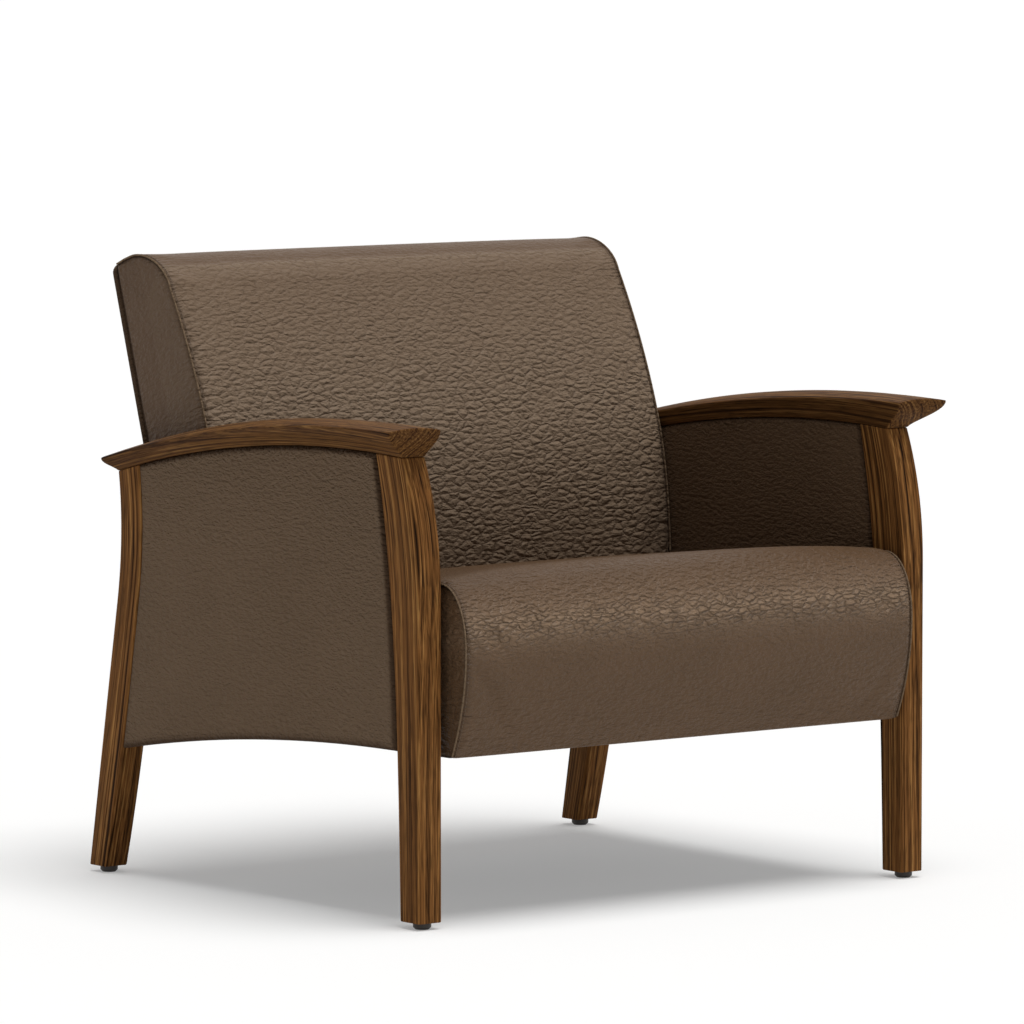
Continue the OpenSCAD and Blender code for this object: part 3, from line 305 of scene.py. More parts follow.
def vinylColour(tree, look, lay, worn, wornPatch, height):
    # two close browns, paler on the hilltops as wear and as a painted highlight, and darkened as painted
    # shade in the folds, along the seams and under the shade mask
    full = sum(fold[4] for fold in look["folds"])
    foldShadeRamp = addNode(tree, "MapRange", {
        "Value": height, "From Min": 0.0, "From Max": vinylForm["foldShadeTop"] * full,
        "To Min": look["foldShadeShare"], "To Max": 0.0})
    # painted shade: the folds' valleys are darkened towards the crease colour
    dark = addNode(tree, "Math", {0: foldShadeRamp, 1: wornPatch}, operation="MULTIPLY", use_clamp=True)
    hilltop = addNode(tree, "MapRange", {
        "Value": height, "From Min": vinylForm["hillFoot"] * full, "From Max": vinylForm["hillTop"] * full})
    # the hilltops pale where worn, and as a painted highlight on the puffs
    wornAndHighlit = addNode(tree, "Math", {0: hilltop, 1: worn}, operation="MULTIPLY", use_clamp=True)
    tint = addNode(tree, "TexNoise", {"Vector": lay, "Scale": vinylForm["tintsPerM"], "Detail": 4.0})
    base = addNode(tree, "Mix", {0: tint.outputs["Fac"], 6: linear(look["deep"]),
                                 7: linear(look["base"])}, data_type="RGBA")
    worked = addNode(tree, "Mix", {0: wornAndHighlit, 6: base.outputs[2], 7: linear(look["wornAndHighlit"])},
                     data_type="RGBA")
    foldShaded = addNode(tree, "Mix", {0: dark, 6: worked.outputs[2], 7: linear(look["crease"])},
                      data_type="RGBA")
    gather = addNode(tree, "Attribute", attribute_name="gather").outputs["Fac"]
    shadeMask = addNode(tree, "Attribute", attribute_name="shadeMask").outputs["Fac"]
    # painted shade along the seams and the pads' edges, from the gather attribute
    seamShade = addNode(tree, "Math", {0: gather, 1: vinylForm["seamShadePower"]}, operation="POWER")
    paintedShade = addNode(tree, "Math", {0: seamShade, 1: look["seamShade"], 2: shadeMask}, operation="MULTIPLY_ADD",
                   use_clamp=True)
    colour = addNode(tree, "Mix", {0: paintedShade, 6: foldShaded.outputs[2], 7: linear(look["crease"])},
                     data_type="RGBA")
    # the sheen fades where the painted shade is deep
    sheen = addNode(tree, "MapRange", {"Value": shadeMask, "From Min": 0.0, "From Max": vinylForm["dullAt"],
                                       "To Min": look["gloss"], "To Max": 0.0})
    return colour.outputs[2], sheen.outputs["Result"], gather


def vinylMaterial(name, look):
    # Calendered upholstery vinyl over foam: a pebble grain, and crackle wrinkles that lie across the
    # piece where use has bent it. "lay" runs over the cloth in metres, "crackle" says how worn it is
    material, tree, shader = newMaterial(name, look["roughness"], gloss=look["gloss"])
    lay = addNode(tree, "Attribute", attribute_name="lay").outputs["Vector"]
    worn = addNode(tree, "Attribute", attribute_name="crackle").outputs["Fac"]
    height = crackleHeight(tree, lay, look["folds"])
    patchNoise = addNode(tree, "TexNoise", {"Vector": lay, "Scale": vinylForm["patchesPerM"], "Detail": 3.0})
    patch = addNode(tree, "MapRange", {
        "Value": patchNoise, "From Min": vinylForm["patchFrom"], "From Max": vinylForm["patchTo"],
        "To Min": vinylForm["patchLeast"], "To Max": 1.0})
    wornPatch = addNode(tree, "Math", {0: patch, 1: worn}, operation="MULTIPLY")
    colour, sheen, gather = vinylColour(tree, look, lay, worn, wornPatch, height)
    tree.links.new(colour, shader.inputs["Base Color"])
    tree.links.new(sheen, shader.inputs["Specular IOR Level"])
    pebbleMap = addNode(tree, "Mapping", {"Vector": lay, "Scale": vinylForm["pebbleStretch"]})
    pebbleNoise = addNode(tree, "TexNoise", {"Vector": pebbleMap, "Scale": 1000 / look["pebbleMm"],
                                             "Detail": 2.0, "Roughness": 0.6})
    pebble = addNode(tree, "Math", {0: pebbleNoise, 1: look["pebble"]}, operation="MULTIPLY")
    hills = addNode(tree, "Math", {0: height, 1: wornPatch}, operation="MULTIPLY")
    # the thread gathers the cloth into short pleats square to the seam
    pleatMap = addNode(tree, "Mapping", {"Vector": lay, "Scale": look["pleatsPerM"]})
    pleatNoise = addNode(tree, "TexNoise", {"Vector": pleatMap, "Scale": 1.0, "Detail": 1.5})
    pleatOff = addNode(tree, "Math", {0: pleatNoise, 1: 0.5}, operation="SUBTRACT")
    fromPleat = addNode(tree, "Math", {0: pleatOff}, operation="ABSOLUTE")
    pleatHill = addNode(tree, "MapRange", {"Value": fromPleat, "From Max": vinylForm["pleatReach"]},
                        interpolation_type="SMOOTHSTEP")
    pleats = addNode(tree, "Math", {0: pleatHill, 1: gather}, operation="MULTIPLY")
    sewn = addNode(tree, "Math", {0: pleats, 1: look["pleat"], 2: pebble}, operation="MULTIPLY_ADD")
    relief = addNode(tree, "Math", {0: hills, 1: look["hill"], 2: sewn}, operation="MULTIPLY_ADD")
    bump = addNode(tree, "Bump", {"Height": relief, "Strength": 1.0, "Distance": 0.001})
    tree.links.new(bump.outputs["Normal"], shader.inputs["Normal"])
    return material


def plainMaterial(name, colour, other, scaleMm, roughness, metallic=0.0, bump=0.1, stretch=(1, 1, 1)):
    # two close tones in an object-space noise, for pieces that are mostly out of sight
    material, tree, shader = newMaterial(name, roughness, metallic)
    place = addNode(tree, "TexCoord")
    mapped = addNode(tree, "Mapping", {"Vector": place.outputs["Object"], "Scale": stretch})
    speck = addNode(tree, "TexNoise", {"Vector": mapped, "Scale": 1000 / scaleMm, "Detail": 3.0})
    stops = [(0.35, linear(colour)), (0.65, linear(other))]
    tone = addNode(tree, "ValToRGB", {"Fac": speck}, stops=stops)
    tree.links.new(tone.outputs["Color"], shader.inputs["Base Color"])
    relief = addNode(tree, "Bump", {"Height": speck, "Strength": bump, "Distance": 0.0005})
    tree.links.new(relief.outputs["Normal"], shader.inputs["Normal"])
    return material


wood = woodMaterial("stainedOpenGrainHardwood", {
    "dark": "#24150a", "brown": "#58391d", "mid": "#84582f", "light": "#ab7d48"})
# the arm caps take a darker copy of the leg stain: painted shade on tops that catch the most light
shadedCapWood = woodMaterial("stainedCapPaintedShade", {
    "dark": "#1e1208", "brown": "#462c18", "mid": "#664525", "light": "#86623a"})
railWood = woodMaterial("stainedRail", {
    "dark": "#24150a", "brown": "#4e321b", "mid": "#75502b", "light": "#98703f"},
    turn=(math.radians(90), 0, 0))

# kind of fold, its width and height in mm, its turn in degrees, and its weight
backFolds = [("cells", 17.5, 9.5, 4.0, 1.4), ("cells", 10.5, 6.0, -12.0, 0.4),
             ("waves", 36.0, 44.0, -24.0, 0.5)]
seatFolds = [("cells", 15.0, 6.0, 3.0, 1.5), ("waves", 26.0, 7.0, -4.0, 0.7)]
sideFolds = [("waves", 15.0, 7.0, -8.0, 1.0)]
# the crease colour is the painted shade's colour, in the folds, along the seams and under the shade mask
vinylLook = {
    "base": "#6f5a48", "deep": "#634f3f", "wornAndHighlit": "#83705d", "crease": "#2c1c10", "roughness": 0.45,
    "gloss": 0.08, "folds": backFolds, "foldShadeShare": 0.24, "hill": 1.25, "pebbleMm": 6.5, "pebble": 3.5,
    "pleatsPerM": (20, 85, 1), "pleat": 3.4, "seamShade": 1.0}
vinyl = vinylMaterial("crackledVinyl", vinylLook)
# the bullnose is bent over its foam, so its crackle is deeper and its tops are less rubbed; its paler
# hilltop colour is partly a painted highlight on the puffs
seatVinyl = vinylMaterial("crackledSeatVinyl", {
    **vinylLook, "base": "#68503b", "deep": "#5b4632", "wornAndHighlit": "#8b735c", "roughness": 0.4, "gloss": 0.17,
    "folds": seatFolds, "hill": 3.8, "foldShadeShare": 0.2, "pebble": 7.0})
# the cord in each seam is paler all along, as wear and as a painted highlight
weltVinyl = vinylMaterial("foldedWeltVinyl", {**vinylLook, "wornAndHighlit": "#7a6753", "gloss": 0.0, "pebble": 1.0})
# the sides are seldom touched: pebbled, matt and hardly crackled
# the crease colour is the painted shade's colour, in the folds and along the edges
sideLook = {
    "base": "#725e4b", "deep": "#645240", "wornAndHighlit": "#75614f", "crease": "#3a2a1e", "roughness": 0.6,
    "gloss": 0.035, "folds": sideFolds, "foldShadeShare": 0.12, "hill": 1.4, "pebbleMm": 5.6, "pebble": 5.2,
    "pleatsPerM": (80, 80, 1), "pleat": 1.6, "seamShade": 0.8}
sideVinyl = vinylMaterial("pebbledVinyl", sideLook)
# the pads inside the arms are a darker copy of the side vinyl: painted shade
innerPadShadedVinyl = vinylMaterial("innerPadPaintedShadeVinyl", {
    **sideLook, "base": "#634e3b", "deep": "#55412f", "wornAndHighlit": "#665240"})
# bonded polyester shows the twist of its plies, planed beech its short flecks
threadMaterial = plainMaterial("bondedPolyesterThread", "#7a6552", "#5c4a3a", 1.0, 0.6, stretch=(3, 3, 1))
innerWood = plainMaterial("bareBeech", "#b08c60", "#c8a878", 6.0, 0.6, stretch=(1, 0.1, 1))
# powder coat is nearly matt with a fine orange peel, zinc plate pale and clouded, oiled wire dark and sleek
blackSteel = plainMaterial("blackPowderCoat", "#101011", "#191a1b", 0.8, 0.55, bump=0.3)
zincSteel = plainMaterial("zincPlatedSteel", "#8e9194", "#b4b6b6", 3.0, 0.35, 1.0)
springSteel = plainMaterial("oiledSpringSteel", "#3a3b3e", "#505255", 2.0, 0.4, 1.0)
brass = plainMaterial("turnedBrass", "#8c7434", "#b09448", 2.0, 0.35, 1.0)
# moulded plastic is smooth and dark, spunbond cloth matt and fibrous
glidePlastic = plainMaterial("mouldedGlidePlastic", "#1d1510", "#2a1f17", 1.2, 0.5, bump=0.15)
dustCloth = plainMaterial("spunbondDustCloth", "#131314", "#232325", 0.9, 0.95, bump=0.5, stretch=(1, 3, 1))
print("materials made")

# Solids that keep their own shape get their real finish by a word in their name; the last word that fits wins
solidFinish = {"rail": innerWood, "board": innerWood, "dowels": innerWood, "stiles": innerWood,
               "blocks": innerWood, "cross_tube": blackSteel, "bolts": zincSteel, "screws": zincSteel,
               "spacers": zincSteel, "clips": zincSteel, "springs": springSteel, "inserts": brass,
               "glides": glidePlastic}
for nodeName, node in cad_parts.items():
    for word, finish in solidFinish.items():
        if word in nodeName:
            for place in node.material_slots:
                place.material = finish
for nodeName in ("lower_side_rail_left", "lower_side_rail_right"):
    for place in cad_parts[nodeName].material_slots:
        place.material = railWood

# Legs: one tree, whose rule bends a rounded square section between two curved faces
legSockets = ["Middle X", "Width", "Edge", "Foot", "Top", "Knee", "Knee Rise", "Arch Y", "Arch Z",
              "Arch Radius", "Fit", "Pith X", "Pith Y", "Fore Start", "Fore Slope", "Fore Bow", "Fore From",
              "Fore Power", "Aft Start", "Aft Slope", "Aft Bow", "Aft From", "Aft Power"]
# Levels and corner points, how late the top bends to the arch, where the tree's heart lies, and eased ends
legCut = {"levels": 72, "cornerPoints": 4, "archPower": 4.0, "pithAcross": 62.0, "pithBack": 48.0,
          "pithApart": 9.0, "ease": 1.4, "easeFrom": 55.0}


def legTree():
    tree, put = newTree("bowedLeg", {**{label: "Float" for label in legSockets}, "Wood": "Material"})
    foot = addNode(tree, "CombineXYZ", {"Z": put["Foot"]})
    head = addNode(tree, "CombineXYZ", {"Z": put["Top"]})
    line = addNode(tree, "GeometryNodeCurvePrimitiveLine", {"Start": foot, "End": head})
    path = addNode(tree, "GeometryNodeResampleCurve", {"Curve": line, "Count": legCut["levels"]})
    square = addNode(tree, "GeometryNodeCurvePrimitiveQuadrilateral", {
        "Width": put["Width"], "Height": put["Width"]})
    section = addNode(tree, "GeometryNodeFilletCurve", {
        "Curve": square, "Radius": put["Edge"], "Count": legCut["cornerPoints"]}, mode="POLY")
    swept = addNode(tree, "GeometryNodeCurveToMesh", {
        "Curve": path, "Profile Curve": section, "Fill Caps": True})
    place = addNode(tree, "GeometryNodeInputPosition")
    at = addNode(tree, "SeparateXYZ", {"Vector": place})
    known = {**put, "x": at.outputs["X"], "y": at.outputs["Y"], "z": at.outputs["Z"]}
    rule = [("up", "SUBTRACT", "z", "Foot")]
    for side in ("Fore", "Aft"):
        rule += [(side + "Above", "SUBTRACT", "z", side + " From"),
                 (side + "Way", "SUBTRACT", "Top", side + " From"),
                 (side + "Share", "DIVIDE", side + "Above", side + "Way"),
                 (side + "Clip", "MAXIMUM", side + "Share", 0.0),
                 (side + "Curve", "POWER", side + "Clip", side + " Power"),
                 (side + "Bowed", "MULTIPLY_ADD", side + "Curve", side + " Bow", side + " Start"),
                 (side, "MULTIPLY_ADD", "up", side + " Slope", side + "Bowed")]
    rule += [("kneeShare", "DIVIDE", "up", "Knee Rise"), ("kneeClip", "MINIMUM", "kneeShare", 1.0),
             ("kneeLeft", "SUBTRACT", 1.0, "kneeClip"), ("kneeSquare", "MULTIPLY", "kneeLeft", "kneeLeft"),
             ("kneeGrown", "SUBTRACT", 1.0, "kneeSquare"), ("kneeOut", "MULTIPLY", "kneeGrown", "Knee"),
             ("foreY", "SUBTRACT", "Fore", "kneeOut"), ("half", "MULTIPLY", "Width", 0.5),
             ("off", "ABSOLUTE", "y"), ("inset", "SUBTRACT", "half", "off"),
             ("foreSide", "ADD", "foreY", "inset"), ("aftSide", "SUBTRACT", "Aft", "inset"),
             ("isAft", "GREATER_THAN", "y", 0.0), ("across", "SUBTRACT", "aftSide", "foreSide"),
             ("newY", "MULTIPLY_ADD", "isAft", "across", "foreSide"),
             ("fromArch", "SUBTRACT", "newY", "Arch Y"), ("archSquare", "MULTIPLY", "fromArch", "fromArch"),
             ("archDrop", "DIVIDE", "archSquare", "Arch Radius"), ("archHalf", "MULTIPLY", "archDrop", 0.5),
             ("archHere", "SUBTRACT", "Arch Z", "archHalf"), ("headZ", "SUBTRACT", "archHere", "Fit"),
             ("headLift", "SUBTRACT", "headZ", "Top"), ("whole", "SUBTRACT", "Top", "Foot"),
             ("share", "DIVIDE", "up", "whole"), ("blend", "POWER", "share", legCut["archPower"]),
             ("newZ", "MULTIPLY_ADD", "blend", "headLift", "z"), ("newX", "ADD", "x", "Middle X"),
             ("centre", "ADD", "foreY", "Aft"), ("mid", "MULTIPLY", "centre", 0.5),
             ("fromMid", "SUBTRACT", "newY", "mid"), ("grainY", "SUBTRACT", "fromMid", "Pith Y"),
             ("grainX", "SUBTRACT", "x", "Pith X")]
    for label, operation, *terms in rule:
        known[label] = addNode(tree, "Math", {i: known.get(t, t) for i, t in enumerate(terms)},
                               operation=operation)
    target = addNode(tree, "CombineXYZ", {"X": known["newX"], "Y": known["newY"], "Z": known["newZ"]})
    grain = addNode(tree, "CombineXYZ", {"X": known["grainX"], "Y": known["grainY"], "Z": known["z"]})
    marked = addNode(tree, "GeometryNodeStoreNamedAttribute", {
        "Geometry": swept, "Name": "grain", "Value": grain}, data_type="FLOAT_VECTOR")
    moved = addNode(tree, "GeometryNodeSetPosition", {"Geometry": marked, "Position": target})
    real = addNode(tree, "GeometryNodeRealizeInstances", {"Geometry": moved})
    stained = addNode(tree, "GeometryNodeSetMaterial", {"Geometry": real, "Material": put["Wood"]})
    addNode(tree, "NodeGroupOutput", {"Geometry": stained})
    return tree


bowedLeg = legTree()
for nodeName, leg, sign in (("front_leg_left", frontLeg, -1), ("front_leg_right", frontLeg, 1),
                            ("rear_leg_left", rearLeg, -1), ("rear_leg_right", rearLeg, 1)):
    lengths = {"Middle X": sign * (chair["legInner"] + chair["legOuter"]) / 2,
               "Width": chair["legOuter"] - chair["legInner"], "Edge": chair["legEdge"],
               "Foot": chair["footZ"], "Top": leg["top"], "Knee": leg["knee"], "Knee Rise": leg["kneeRise"],
               "Arch Y": chair["archY"] - chair["middleY"], "Arch Z": chair["archZ"],
               "Arch Radius": chair["archRadius"], "Fit": chair["fit"],
               "Pith X": -sign * (legCut["pithAcross"] + leg["knee"]),
               "Pith Y": legCut["pithBack"] + sign * legCut["pithApart"]}
    for side in ("Fore", "Aft"):
        lengths[side + " Start"] = leg[side.lower() + "Start"] - chair["middleY"]
        lengths[side + " Bow"] = leg[side.lower() + "Bow"]
        lengths[side + " From"] = leg[side.lower() + "From"]
    values = {key: value / 1000 for key, value in lengths.items()}
    for side in ("Fore", "Aft"):
        values[side + " Slope"] = leg[side.lower() + "Slope"]
        values[side + " Power"] = leg[side.lower() + "Power"]
    piece = growNodes("wooden_" + nodeName, bowedLeg, {**values, "Wood": wood})
    piece.data.polygons.foreach_set("use_smooth", [True] * len(piece.data.polygons))
    easeEdges(piece, legCut["ease"], 2, legCut["easeFrom"])
    finished(piece)
    faceOutwards(piece)
    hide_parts(nodeName)
print("legs grown")

# The rear stretcher leans as the legs do
stretcher = {"low": 262.0, "high": 322.0, "thick": 24.0, "stations": 9, "ease": 2.2, "easeFrom": 40.0,
             "middleZ": 290.0, "pithBack": 50.0, "pithUp": 110.0}


def stretcherMesh(name):
    reach, low, high = chair["legInner"], stretcher["low"], stretcher["high"]
    points = []
    for x in np.linspace(-reach, reach, stretcher["stations"]):
        for z, side in ((low, -1), (low, 1), (high, 1), (high, -1)):
            middle = (float(legFace(rearLeg, "fore", z)) + float(legFace(rearLeg, "aft", z))) / 2
            points.append([x, middle + side * stretcher["thick"] / 2, z])
    points = np.array(points)
    last = len(points) - 4
    faces = ringFaces(stretcher["stations"], 4) + [(0, 3, 2, 1), (last, last + 1, last + 2, last + 3)]
    grain = np.stack([points[:, 1] - points[:, 1].mean() - stretcher["pithBack"],
                      points[:, 2] - stretcher["middleZ"] + stretcher["pithUp"], points[:, 0]], 1) / 1000
    board = makeObject(name, points, faces, wood, {"grain": grain})
    faceOutwards(board)
    easeEdges(board, stretcher["ease"], 3, stretcher["easeFrom"])
    finished(board)
    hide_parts("rear_stretcher")


stretcherMesh("wooden_rear_stretcher")
print("stretcher planed")

# Arm caps: a run of sections between two arches
armCap = {"noseFront": 29.5, "noseRear": 23.5, "flareFront": 44.0, "flareRear": 12.0, "lip": 3.0, "crown": 9.0,
          "tipCrown": 4.0, "undercut": 1.35, "levels": 12, "across": 9, "stations": 64, "ends": (0.012, 0.03),
          "pithIn": 250.0, "pithDown": 105.0, "pithApart": 5.0, "boardApart": 300.0, "ease": 2.4,
          "easeFrom": 42.0}


def armCapPoint(s, t, w):
    # s along the cap, t up its side, w across it; the top is crowned
    hollow = math.sin(math.radians(90 * t)) ** armCap["undercut"]
    taper = s * s * (3 - 2 * s)
    flare = armCap["flareFront"] + (armCap["flareRear"] - armCap["flareFront"]) * taper
    crown = armCap["tipCrown"] + (armCap["crown"] - armCap["tipCrown"]) * math.sin(math.radians(180 * s))
    front = float(legFace(frontLeg, "fore", frontLeg["top"])) - armCap["noseFront"] * hollow
    rear = float(legFace(rearLeg, "aft", rearLeg["top"])) + armCap["noseRear"] * hollow
    y = (1 - s) * front + s * rear
    low, high = armUnder(y), armCrest(y) - crown
    inner = chair["legInner"] - armCap["lip"] * hollow
    outer = chair["legOuter"] + flare * hollow
    lift = crown * (1 - (2 * w - 1) ** 2) if t == 1 else 0
    return [inner + (outer - inner) * w, y, low + (high - low) * t + lift]


def armCapMesh(name, sign):
    levels = [i / armCap["levels"] for i in range(armCap["levels"] + 1)]
    widths = [i / armCap["across"] for i in range(1, armCap["across"])]
    loop = ([(t, 0) for t in levels] + [(1, w) for w in widths] + [(t, 1) for t in reversed(levels)]
            + [(0, w) for w in reversed(widths)])
    tip, body = armCap["ends"]
    shares = [0, tip, *np.linspace(body, 1 - body, armCap["stations"]), 1 - tip, 1]
    points = [armCapPoint(s, t, w) for s in shares for t, w in loop]
    faces = ringFaces(len(shares), len(loop))
    for s, first in ((0, 0), (1, (len(shares) - 1) * len(loop))):
        place = {key: first + i for i, key in enumerate(loop)}
        for t in levels[1:-1]:
            for w in widths:
                place[(t, w)] = len(points)
                points.append(armCapPoint(s, t, w))
        rows, columns = levels, [0, *widths, 1]
        for a, b in zip(rows, rows[1:]):
            for c, d in zip(columns, columns[1:]):
                faces.append((place[(a, c)], place[(a, d)], place[(b, d)], place[(b, c)]))
    points = np.array(points)
    # the grain runs along the cap and bends with its arch
    grain = np.stack([points[:, 0] - armCap["pithIn"],
                      points[:, 2] - armUnder(points[:, 1]) + armCap["pithDown"] + armCap["pithApart"] * sign,
                      points[:, 1] + armCap["boardApart"] * sign], 1) / 1000
    points[:, 0] *= sign
    piece = makeObject(name, points, faces, shadedCapWood, {"grain": grain})
    faceOutwards(piece)
    easeEdges(piece, armCap["ease"], 3, armCap["easeFrom"])
    finished(piece)
    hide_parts(name.replace("wooden_", ""))


armCapMesh("wooden_arm_cap_left", -1)
armCapMesh("wooden_arm_cap_right", 1)
print("arm caps shaped")

# Cushions: rings across the chair, closed by side gussets that close in on a spine. The held sizes bound the
# hidden parts, which the cloth simulation leaves in place
seat = {"seamZ": 450.5, "fall": 52.0, "noseStart": 1.0, "noseDepth": 54.5, "noseZ": 364.0, "nosePower": 0.95,
        "noseReach": 53.5, "bottomZ": 222.0, "tuck": 31.5, "rearY": 477.35, "half": 381.0, "crown": 18.0,
        "crownRise": 2.2, "swell": 2.5, "noseShare": 0.27, "bulge": 2.5, "railY": 36.3, "frameLow": 272.0,
        "spine": [(40, 345), (400, 340)], "heldEdge": 12.0, "heldLow": 300.0, "heldBehind": 30.0}
back = {"rake": 17.1, "footY": 557.58, "footZ": 230.0, "length": 631.0, "low": 3.0, "panel": 14.3,
        "lumbar": 159.5, "lumbarUp": 335.0, "seatLine": 131.0, "seatLineUp": 155.0, "lowerPower": 1.7,
        "shoulder": 132.5, "shoulderUp": 565.0, "topDepth": 78.0, "topHeight": 66.0, "topPower": 1.14,
        "rearDrop": 2.0, "crestStart": 0.7, "frontFrom": -60.0, "half": 389.0, "crown": 7.0, "swell": 2.0,
        "bulge": 1.2, "spine": [(-75, 70), (-75, 560)], "heldLow": 380.0, "heldBehind": 30.0}
# A gusset closes in by shares of the way to the spine, and nearer the seam by mm. At the seam the cloth dips,
# a folded edge stands up, and the top dips again: each place is its distance from the edge and its height
sewing = {"across": 8.0, "along": 4.0, "crackleDeep": 0.45, "crownPower": 3.4, "seed": 7.0,
          "puckerDepth": 2.6, "puckerReach": 14.0, "puckerHold": 4.0, "puckerMm": 7.0, "finePuckerMm": 3.4,
          "finePuckers": 0.5, "gatherReach": 12.0, "gussetGather": 0.8, "gussetWorn": 0.3, "gussetShade": 0.12,
          "turnIn": 1.0, "wornIn": 3.0,
          "ridgeAcross": 45.0, "ridgeAlong": 60.0, "ridgeMean": 0.5, "ridgeVaries": 0.6, "ridgeLeast": 0.1,
          "gussetShares": (0.9, 0.75, 0.6, 0.45, 0.32, 0.22, 0.14),
          "gussetSeam": ((9.0, 0.3), (6.5, 0.0), (4.6, -0.9), (3.2, -1.9), (1.8, -2.0), (0.6, -1.2)),
          "topSeam": ((1.2, -1.4), (2.4, -2.0), (3.6, -2.0), (5.0, -1.2), (6.8, -0.4), (9.0, 0.1))}


def spaced(points, step):
    # the same line, with its points spread evenly about a step apart
    points = np.asarray(points, float)
    lengths = np.r_[0, np.cumsum(np.linalg.norm(np.diff(points, axis=0), axis=1))]
    count = max(2, int(round(lengths[-1] / step)) + 1)
    at = np.linspace(0, lengths[-1], count)
    return np.stack([np.interp(at, lengths, points[:, k]) for k in range(points.shape[1])], 1)


def seatTop(y):
    share = np.clip((y - seat["noseStart"]) / (seat["rearY"] - seat["noseStart"]), 0, None)
    return seat["seamZ"] - seat["fall"] * share


def seatOutline():
    # top from the back forwards, bullnose, tuck, then the hidden underside with fewer points
    low, high, railY, rearY = seat["bottomZ"], seat["frameLow"], seat["railY"], seat["rearY"]
    ys = np.linspace(rearY, seat["noseStart"], 120)
    top = np.stack([ys, seatTop(ys)], 1)
    a = np.radians(np.linspace(88, 0, 50))
    nose = np.stack([seat["noseStart"] - seat["noseDepth"] * np.cos(a) ** seat["nosePower"],
                     seat["noseZ"] + (seat["seamZ"] - seat["noseZ"]) * np.sin(a) ** seat["nosePower"]], 1)
    zs = np.linspace(seat["noseZ"], low, 40)[1:]
    drop = (seat["noseZ"] - zs) / (seat["noseZ"] - low)
    tuck = np.stack([-seat["noseReach"] + seat["tuck"] * drop ** 2, zs], 1)
    shown = spaced(np.concatenate([top, nose, tuck]), sewing["along"])
    under = spaced([[shown[-1][0], low], [railY, low]], 12)[1:]
    step = spaced([[railY, low], [railY, high]], 25)[1:]
    floor = spaced([[railY, high], [rearY, high]], 22)[1:]
    rear = spaced([[rearY, high], [rearY, shown[0][1]]], 20)[1:-1]
    return np.concatenate([shown, under, step, floor, rear]), len(shown)


def backThick(z):
    upper = back["lumbar"] - (back["lumbar"] - back["shoulder"]) * (
        (z - back["lumbarUp"]) / (back["shoulderUp"] - back["lumbarUp"])) ** 2
    lower = back["lumbar"] - (back["lumbar"] - back["seatLine"]) * (
        np.maximum(0, back["lumbarUp"] - z) / (back["lumbarUp"] - back["seatLineUp"])) ** back["lowerPower"]
    return np.where(z > back["lumbarUp"], upper, lower)


def backOutline():
    # in the back's own plane: over the top from the rear edge, down the front, then up the rear
    crestY = back["topDepth"] - back["shoulder"]
    crest = [[-back["panel"], back["length"] - back["rearDrop"]],
             [crestY * back["crestStart"], back["length"]], [crestY, back["length"]]]
    a = np.radians(np.linspace(88, 0, 40))
    top = np.stack([crestY - back["topDepth"] * np.cos(a) ** back["topPower"],
                    back["shoulderUp"] + back["topHeight"] * np.sin(a) ** back["topPower"]], 1)
    zs = np.linspace(back["shoulderUp"], back["seatLineUp"], 110)[1:]
    front = np.stack([-backThick(zs), zs], 1)
    lows = np.linspace(back["seatLineUp"], back["low"], 20)[1:]
    lean = math.tan(math.radians(back["rake"]))
    low = np.stack([-back["seatLine"] + (back["seatLineUp"] - lows) * lean, lows], 1)
    shown = spaced(np.concatenate([crest, top, front, low]), sewing["along"])
    under = spaced([shown[-1], [-back["panel"], back["low"]]], 15)[1:]
    rear = spaced([[-back["panel"], back["low"]], shown[0]], 20)[1:-1]
    return np.concatenate([shown, under, rear]), len(shown)


def outwards(outline):
    ahead, behind = np.roll(outline, -1, 0), np.roll(outline, 1, 0)
    d = ahead - behind
    normal = np.stack([d[:, 1], -d[:, 0]], 1)
    normal /= np.linalg.norm(normal, axis=1)[:, None]
    area = np.sum(outline[:, 0] * np.roll(outline[:, 1], -1) - np.roll(outline[:, 0], -1) * outline[:, 1])
    return normal if area > 0 else -normal


def gathers(lengths, seed):
    # how deep the seam pulls the cloth in at each place along it: uneven puckers 9 to 18 mm apart
    wide = [noise.noise(Vector((s / sewing["puckerMm"], seed, 0))) for s in lengths]
    fine = [noise.noise(Vector((s / sewing["finePuckerMm"], seed, 5.0))) for s in lengths]
    return np.maximum(0.0, np.array(wide) + sewing["finePuckers"] * np.array(fine))


